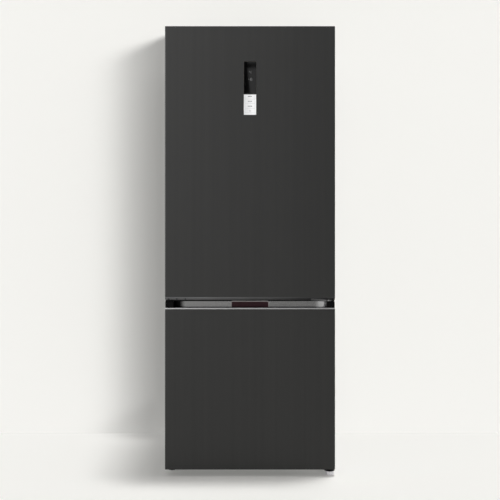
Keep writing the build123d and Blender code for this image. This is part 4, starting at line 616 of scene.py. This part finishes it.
LINE_X = RUN_HALF + 25
LINE_BEND = 12
LIQUID_RISE = 12  # of the liquid line above the hot line
HOT_START, COLD_START, COLD_X = -54, -226, -290
ROOF = span("back_panel")[0].z
hot, cold = CAN.z + HOT_RISE, CAN.z + COLD_RISE
discharge = [(HOT_START, CAN.y, hot), (LINE_X, CAN.y, hot), (LINE_X, COIL_Y, hot),
             (LINE_X, COIL_Y, COIL_Z[1]), (RUN_HALF, COIL_Y, COIL_Z[1])]
liquid = [(-RUN_HALF, COIL_Y, COIL_Z[0]), (-LINE_X, COIL_Y, COIL_Z[0]),
          (-LINE_X, COIL_Y, hot + LIQUID_RISE), (-LINE_X, CAN.y, hot + LIQUID_RISE),
          (-LINE_X, CAN.y, ROOF)]
suction = [(COLD_START, CAN.y, cold), (COLD_X, CAN.y, cold), (COLD_X, CAN.y, ROOF)]
lines = pipes("copper_lines", [bent(route, LINE_BEND) for route in (discharge, liquid, suction)], PIPE,
              FINISHES["copper"], "cabinet")
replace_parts(lines, "refrigerant_lines")

DRIER = [(2.8, -12), (3.6, -8), (8.2, 0), (9, 3), (9, 87), (8.2, 90), (3.6, 98), (2.8, 102)]
DRIER_DROP = 180
bm = bmesh.new()
lathe(bm, DRIER, (-LINE_X, COIL_Y, COIL_Z[0] - DRIER_DROP), UPWARD, 32)
place("drier", bm, [FINISHES["copper"]], "cabinet")


# Screws

# The second finish of each pair is dark: painted shade in screw recesses and behind vent ribs
STEEL = [FINISHES["pin_steel"], FINISHES["black_plastic"]]
WHITE = [FINISHES["white_plastic"], FINISHES["grey_plastic"]]
HEAD = (4.4, 2.2)  # radius and height
BACK_HEAD = (4.5, 2.4)
TOP_HEAD = (4.0, 1.4)
BACK_X = 342.5
BACK_HEIGHTS = range(300, 1801, 250)
back = span("outer_shell")[1].y
bm = bmesh.new()
for z in BACK_HEIGHTS:
    for x in (-BACK_X, BACK_X):
        screw(bm, (x, back, z), REARWARD, *BACK_HEAD)
place("back_screws", bm, STEEL, "cabinet")

ARM_X, ARM_MARGIN, ARM_SHEET = (272, 304), 5.6, 3
SOLE_X, SOLE_Y, SOLE_SHEET = (302, 328), (-250, -222), 4
LID_PLACE = (313, -230)
low, high = span("middle_hinge_bracket")
bm = bmesh.new()
for x in ARM_X:
    for z in (low.z + ARM_MARGIN, high.z - ARM_MARGIN):
        screw(bm, (x, high.y - ARM_SHEET, z), OUTWARD, *HEAD)
sole = span("bottom_hinge_bracket")[1].z - SOLE_SHEET
for x in SOLE_X:
    for y in SOLE_Y:
        screw(bm, (x, y, sole), DOWNWARD, *HEAD)
screw(bm, (*LID_PLACE, span("top_hinge_cover")[1].z), UPWARD, *TOP_HEAD)
place("hinge_screws", bm, STEEL, "cabinet")

COVER_X = 262
low, high = span("evaporator_cover")
bm = bmesh.new()
for x in (-COVER_X, COVER_X):
    for z in (low.z + 20, (low.z + high.z) / 2, high.z - 24):
        screw(bm, (x, low.y, z), OUTWARD, *HEAD)
place("cover_screws", bm, WHITE, "cabinet")


# Interior

LENS_X, LENS_Y = 10, 6  # margins of the lens in its lamp
low, high = span("fridge_lamp")
bm = bmesh.new()
slab(bm, (low.x + LENS_X, low.y + LENS_Y, low.z - 0.8),
     (high.x - LENS_X, high.y - LENS_Y, low.z + 0.4), 0.5)
place("lamp_lens", bm, [lens], "cabinet")

BIN_DROPS = (0, 215, 430, 680)
BAND_HALF = 236
low, high = span("door_bins")
bm = bmesh.new()
for drop in BIN_DROPS:
    top = high.z - drop
    slab(bm, (-BAND_HALF, high.y - 1.6, top - 16), (BAND_HALF, high.y + 0.8, top - 4), 0.5)
place("bin_bands", bm, [FINISHES["light_plastic"]], "fridge_door")

STRIP_HALF = 246
for drawer in ("crisper_drawer", "chiller_drawer"):
    low, high = span(drawer)
    bm = bmesh.new()
    slab(bm, (-STRIP_HALF, low.y - 0.5, high.z - 8.6), (STRIP_HALF, low.y + 0.4, high.z - 1.8), 0.35)
    place(drawer + "_strip", bm, [FINISHES["light_plastic"]], drawer)

VENT_HEIGHTS = (1082, 1248, 1414, 1580, 1746.5)
VENT_X, VENT_HALF, VENT_TALL = 58, 30, 3.5
RIBS, RIB_START, RIB_PITCH, RIB_HALF, RIB_TALL = 10, 24.75, 5.5, 0.7, 3.7
FRAME_Z, FRAME_X, FRAME_TALL, FRAME_WIDE, FRAME_REACH = 4.6, 31.4, 1.3, 1.6, 33
duct = span("fridge_air_duct")[0].y
FRAME_FACE, FRAME_FOOT = duct - 1.2, duct + 0.2
bm = bmesh.new()
for z in VENT_HEIGHTS:
    for x in (-VENT_X, VENT_X):
        # painted shade: a dark sheet just behind the ribs stands for the shade inside each vent
        slab(bm, (x - VENT_HALF, duct + 5.2, z - VENT_TALL), (x + VENT_HALF, duct + 6.2, z + VENT_TALL),
             index=1)
        for step in range(RIBS):
            rib = x - RIB_START + RIB_PITCH * step
            slab(bm, (rib - RIB_HALF, duct + 0.3, z - RIB_TALL),
                 (rib + RIB_HALF, duct + 5.4, z + RIB_TALL))
        for side in (-1, 1):
            bar = z + side * FRAME_Z
            slab(bm, (x - FRAME_REACH, FRAME_FACE, bar - FRAME_TALL),
                 (x + FRAME_REACH, FRAME_FOOT, bar + FRAME_TALL), 0.5)
            bar = x + side * FRAME_X
            slab(bm, (bar - FRAME_WIDE, FRAME_FACE, z - FRAME_Z),
                 (bar + FRAME_WIDE, FRAME_FOOT, z + FRAME_Z), 0.5)
place("duct_grilles", bm, WHITE, "cabinet")


# Node tools for the stage

def feed(tree, source, socket):
    """Gives a socket a number or the value of another socket."""
    if isinstance(source, float):
        socket.default_value = source
    else:
        tree.links.new(source, socket)


def maths(tree, operation, first, second):
    made = tree.nodes.new("ShaderNodeMath")
    made.operation = operation
    feed(tree, first, made.inputs[0])
    feed(tree, second, made.inputs[1])
    return made.outputs[0]


def blend(tree, share, first, second):
    """Two shaders mixed by a share."""
    made = tree.nodes.new("ShaderNodeMixShader")
    for source, socket in zip((share, first, second), made.inputs):
        tree.links.new(source, socket)
    return made.outputs[0]


def glowing(tree, kind, colour, strength):
    """Emission or background of a colour."""
    made = tree.nodes.new(kind)
    made.inputs["Color"].default_value = (*colour, 1)
    feed(tree, strength, made.inputs["Strength"])
    return made.outputs[0]


def seen_by(tree, *kinds):
    """One for the named kinds of ray, and nought for all others."""
    path = tree.nodes.new("ShaderNodeLightPath")
    total = path.outputs[kinds[0]]
    for kind in kinds[1:]:
        total = maths(tree, "MAXIMUM", total, path.outputs[kind])
    return total


def graded(tree, places, grades):
    """Product of two values that run straight from stop to stop along their axes."""
    parted = tree.nodes.new("ShaderNodeSeparateXYZ")
    tree.links.new(tree.nodes.new("ShaderNodeTexCoord").outputs[places], parted.inputs[0])
    values = []
    for axis, stops in grades.items():
        curve = tree.nodes.new("ShaderNodeFloatCurve")
        points = curve.mapping.curves[0].points
        curve.mapping.use_clip = False
        while len(points) < len(stops):
            points.new(0.5, 0.5)
        for point, stop in zip(points, stops):
            point.location = stop
            point.handle_type = "VECTOR"
        curve.mapping.update()
        tree.links.new(parted.outputs[axis], curve.inputs["Value"])
        values.append(curve.outputs["Value"])
    return maths(tree, "MULTIPLY", *values)


# Stage

PALE = srgb(243, 242, 238)
PAPER = tuple(0.93 * level for level in PALE)
GLOW = 0.17  # light of the paper itself, shown to camera and mirrors and lighting nothing
REACH = 9
WALL_TOP = 8
WALL_Y = 0.365
FLOOR_Z = -0.0004

# Painted light: glow added beside the part to cancel the soft shade it casts on the paper, as (place,
# glow) stops along one axis and (place, share) along the other
WALL_PAINTED_LIGHT = {
    "X": ((-9.0, 0.0), (0.1, 0.0), (0.4, 0.0725), (0.5, 0.0715), (0.56, 0.065), (0.76, 0.034),
          (1.015, 0.0145), (1.35, 0.0), (9.0, 0.0)),
    "Z": ((-1.0, 0.6), (0.0, 0.6), (0.2, 0.9), (0.5, 1.0), (1.39, 1.0), (1.69, 0.75), (2.0, 0.15),
          (2.2, 0.0), (9.0, 0.0)),
}
FLOOR_PAINTED_LIGHT = {
    "X": ((-9.0, 0.0), (0.15, 0.0), (0.36, 0.088), (0.45, 0.075), (0.52, 0.058), (0.68, 0.034),
          (0.92, 0.014), (1.3, 0.0), (9.0, 0.0)),
    "Y": ((-9.0, 0.0), (-0.7, 0.0), (-0.5, 0.1), (-0.39, 0.32), (-0.25, 0.95), (-0.1, 1.0),
          (0.14, 0.85), (0.36, 0.5), (9.0, 0.5)),
}


def paper(name, painted_light, one_sided):
    """Pale studio paper that keeps shadows, with painted light beside the part; one-sided paper is open
    from behind.
    """
    material = bpy.data.materials.new(name)
    material.use_nodes = True
    tree = material.node_tree
    tree.nodes.clear()
    matt = tree.nodes.new("ShaderNodeBsdfDiffuse")
    matt.inputs["Color"].default_value = (*PAPER, 1)
    seen = seen_by(tree, "Is Camera Ray", "Is Glossy Ray", "Is Transmission Ray")
    # painted light: glow that rises beside the part, cancelling its soft shade on the paper
    strength = maths(tree, "ADD", graded(tree, "Object", painted_light), GLOW)
    light = glowing(tree, "ShaderNodeEmission", PALE, maths(tree, "MULTIPLY", seen, strength))
    both = tree.nodes.new("ShaderNodeAddShader")
    tree.links.new(matt.outputs[0], both.inputs[0])
    tree.links.new(light, both.inputs[1])
    surface = both.outputs[0]
    if one_sided:
        behind = tree.nodes.new("ShaderNodeNewGeometry").outputs["Backfacing"]
        through = tree.nodes.new("ShaderNodeBsdfTransparent").outputs[0]
        surface = blend(tree, behind, surface, through)
    end = tree.nodes.new("ShaderNodeOutputMaterial")
    tree.links.new(surface, end.inputs["Surface"])
    return material


def staged(name, spots, faces, hidden, material=None):
    """Stage piece that the named kinds of ray don't meet."""
    mesh = bpy.data.meshes.new(name)
    mesh.from_pydata(spots, [], faces)
    if material:
        mesh.materials.append(material)
    made = bpy.data.objects.new(name, mesh)
    bpy.context.scene.collection.objects.link(made)
    for ray in hidden:
        setattr(made, "visible_" + ray, False)


NO_SHADE = ("shadow", "diffuse")
SHADE_ONLY = ("camera", "diffuse", "glossy", "transmission", "volume_scatter")
MIRROR_ONLY = ("camera", "diffuse", "shadow", "transmission", "volume_scatter")
SQUARE = [(0, 1, 2, 3)]
ground = [(-REACH, -REACH, FLOOR_Z), (REACH, -REACH, FLOOR_Z),
          (REACH, REACH, FLOOR_Z), (-REACH, REACH, FLOOR_Z)]
wall = [(-REACH, WALL_Y, 0), (REACH, WALL_Y, 0), (REACH, WALL_Y, WALL_TOP), (-REACH, WALL_Y, WALL_TOP)]
staged("floor", ground, SQUARE, NO_SHADE, paper("floor_paper", FLOOR_PAINTED_LIGHT, False))
staged("backdrop", wall, SQUARE, NO_SHADE, paper("backdrop_paper", WALL_PAINTED_LIGHT, True))

# Shadow casters: a plinth under the part, and a gobo at its rear left edge with a peak above it
# and a strip behind the base
PLINTH = ((-0.4, -0.34, 0.015), (0.35, -0.34, -0.001), (0.35, 0.31, -0.001), (-0.4, 0.31, 0.015))
PLINTH_FOOT = -1.2
spots = [(x, y, PLINTH_FOOT) for x, y, top in PLINTH] + [(x, y, top) for x, y, top in PLINTH]
faces = [(0, 1, 2, 3), (4, 5, 6, 7), (0, 1, 5, 4), (1, 2, 6, 5), (2, 3, 7, 6), (3, 0, 4, 7)]
staged("plinth", spots, faces, SHADE_ONLY)

GOBO_LINE = ((-0.35, 0.31), (-0.35, 0.369), (-0.45, 0.369), (-0.45, 0.58))
GOBO_Z = (-0.1, 1.85)
PEAK = [(-0.35, -0.34, 1.851), (-0.35, 0.31, 1.851), (-0.35, 0.24, 2.0145)]
STRIP = [(-0.35, 0.29, 0.03), (0.35, 0.29, 0.03), (0.35, 0.369, 0.03), (-0.35, 0.369, 0.03)]
spots = [(x, y, z) for x, y in GOBO_LINE for z in GOBO_Z] + PEAK + STRIP
faces = [(0, 1, 3, 2), (2, 3, 5, 4), (4, 5, 7, 6), (8, 9, 10), (11, 12, 13, 14)]
staged("gobo", spots, faces, SHADE_ONLY)

# Dark flag over the camera that the display's glass mirrors
EYE = (0, -3.34, 0.9303)
FLAG = ((-0.30, 2.12), (0.011, 2.12), (-0.0195, 2.425), (0.12, 2.434), (0.12, 2.47), (-0.022, 2.47),
        (-0.022, 2.56), (-0.30, 2.56))
cloth = bpy.data.materials.new("flag_cloth")
cloth.use_nodes = True
cloth.node_tree.nodes["Principled BSDF"].inputs["Base Color"].default_value = (*even(0.004), 1)
staged("flag", [(x, EYE[1], z) for x, z in FLAG], [tuple(range(len(FLAG)))], MIRROR_ONLY, cloth)


# Light and camera

WHITE_LIGHT = (1, 1, 1)
SOFT = 0.33
MIRROR_GRADES = {
    "X": ((-1.0, 3.4), (-0.7, 3.4), (-0.45, 2.6), (-0.25, 1.5), (-0.05, 1.16), (0.035, 0.66),
          (0.1, 0.58), (0.18, 0.62), (0.45, 0.1), (0.6, 0.0)),
    "Z": ((-0.5, 0.5), (0.5, 1.5)),
}
world = bpy.data.worlds.new("studio")
bpy.context.scene.world = world
world.use_nodes = True
tree = world.node_tree
tree.nodes.clear()
soft = glowing(tree, "ShaderNodeBackground", WHITE_LIGHT, SOFT)
mirror = glowing(tree, "ShaderNodeBackground", WHITE_LIGHT, graded(tree, "Generated", MIRROR_GRADES))
shown = glowing(tree, "ShaderNodeBackground", PALE, 1.0)
lighting = blend(tree, seen_by(tree, "Is Glossy Ray"), soft, mirror)
whole = blend(tree, seen_by(tree, "Is Camera Ray", "Is Transmission Ray"), lighting, shown)
end = tree.nodes.new("ShaderNodeOutputWorld")
tree.links.new(whole, end.inputs["Surface"])


def sun(name, toward, strength, softness):
    """Sun that shines toward a direction, with a softness in degrees."""
    lamp = bpy.data.lights.new(name, "SUN")
    lamp.energy = strength
    lamp.angle = math.radians(softness)
    made = bpy.data.objects.new(name, lamp)
    made.rotation_mode = "QUATERNION"
    made.rotation_quaternion = Vector(toward).to_track_quat("-Z", "Y")
    made.visible_glossy = False
    bpy.context.scene.collection.objects.link(made)


# A fan of suns stands for a long lamp at the right, low in front of the part
KEY = 1.866
KEY_SHARES = (0.09, 0.135, 0.155, 0.2, 0.2, 0.135, 0.085)
KEY_ASIDE, KEY_ASIDE_STEP = 0.187, 0.0722
KEY_RISE, KEY_RISE_STEP = 0.205, 0.0303
KEY_SOFT, KEY_SOFT_STEP = 3.5, 0.9
for step, share in enumerate(KEY_SHARES):
    toward = Vector((-KEY_ASIDE - KEY_ASIDE_STEP * step, 1.0, KEY_RISE - KEY_RISE_STEP * step))
    sun(f"key_{step}", toward, KEY * share * toward.length, KEY_SOFT + KEY_SOFT_STEP * step)

# A second fan lights the floor from above: lean aside, lean ahead and share of each
TOP = 1.87
TOP_SUNS = ((0.05, 0.07, 0.22), (0.09, 0.062, 0.3), (0.13, 0.056, 0.28), (0.17, 0.015, 0.2))
TOP_SOFT = 4.5
for step, (aside, ahead, share) in enumerate(TOP_SUNS):
    sun(f"top_{step}", (-aside, -ahead, -1.0), TOP * share, TOP_SOFT)

camera = bpy.data.cameras.new("camera")
camera.lens = 52.57
camera.sensor_width = 36
viewer = bpy.data.objects.new("camera", camera)
viewer.location = EYE
viewer.rotation_euler = (math.radians(90), 0, 0)
bpy.context.scene.collection.objects.link(viewer)
bpy.context.scene.camera = viewer
bpy.context.scene.view_settings.view_transform = "Standard"
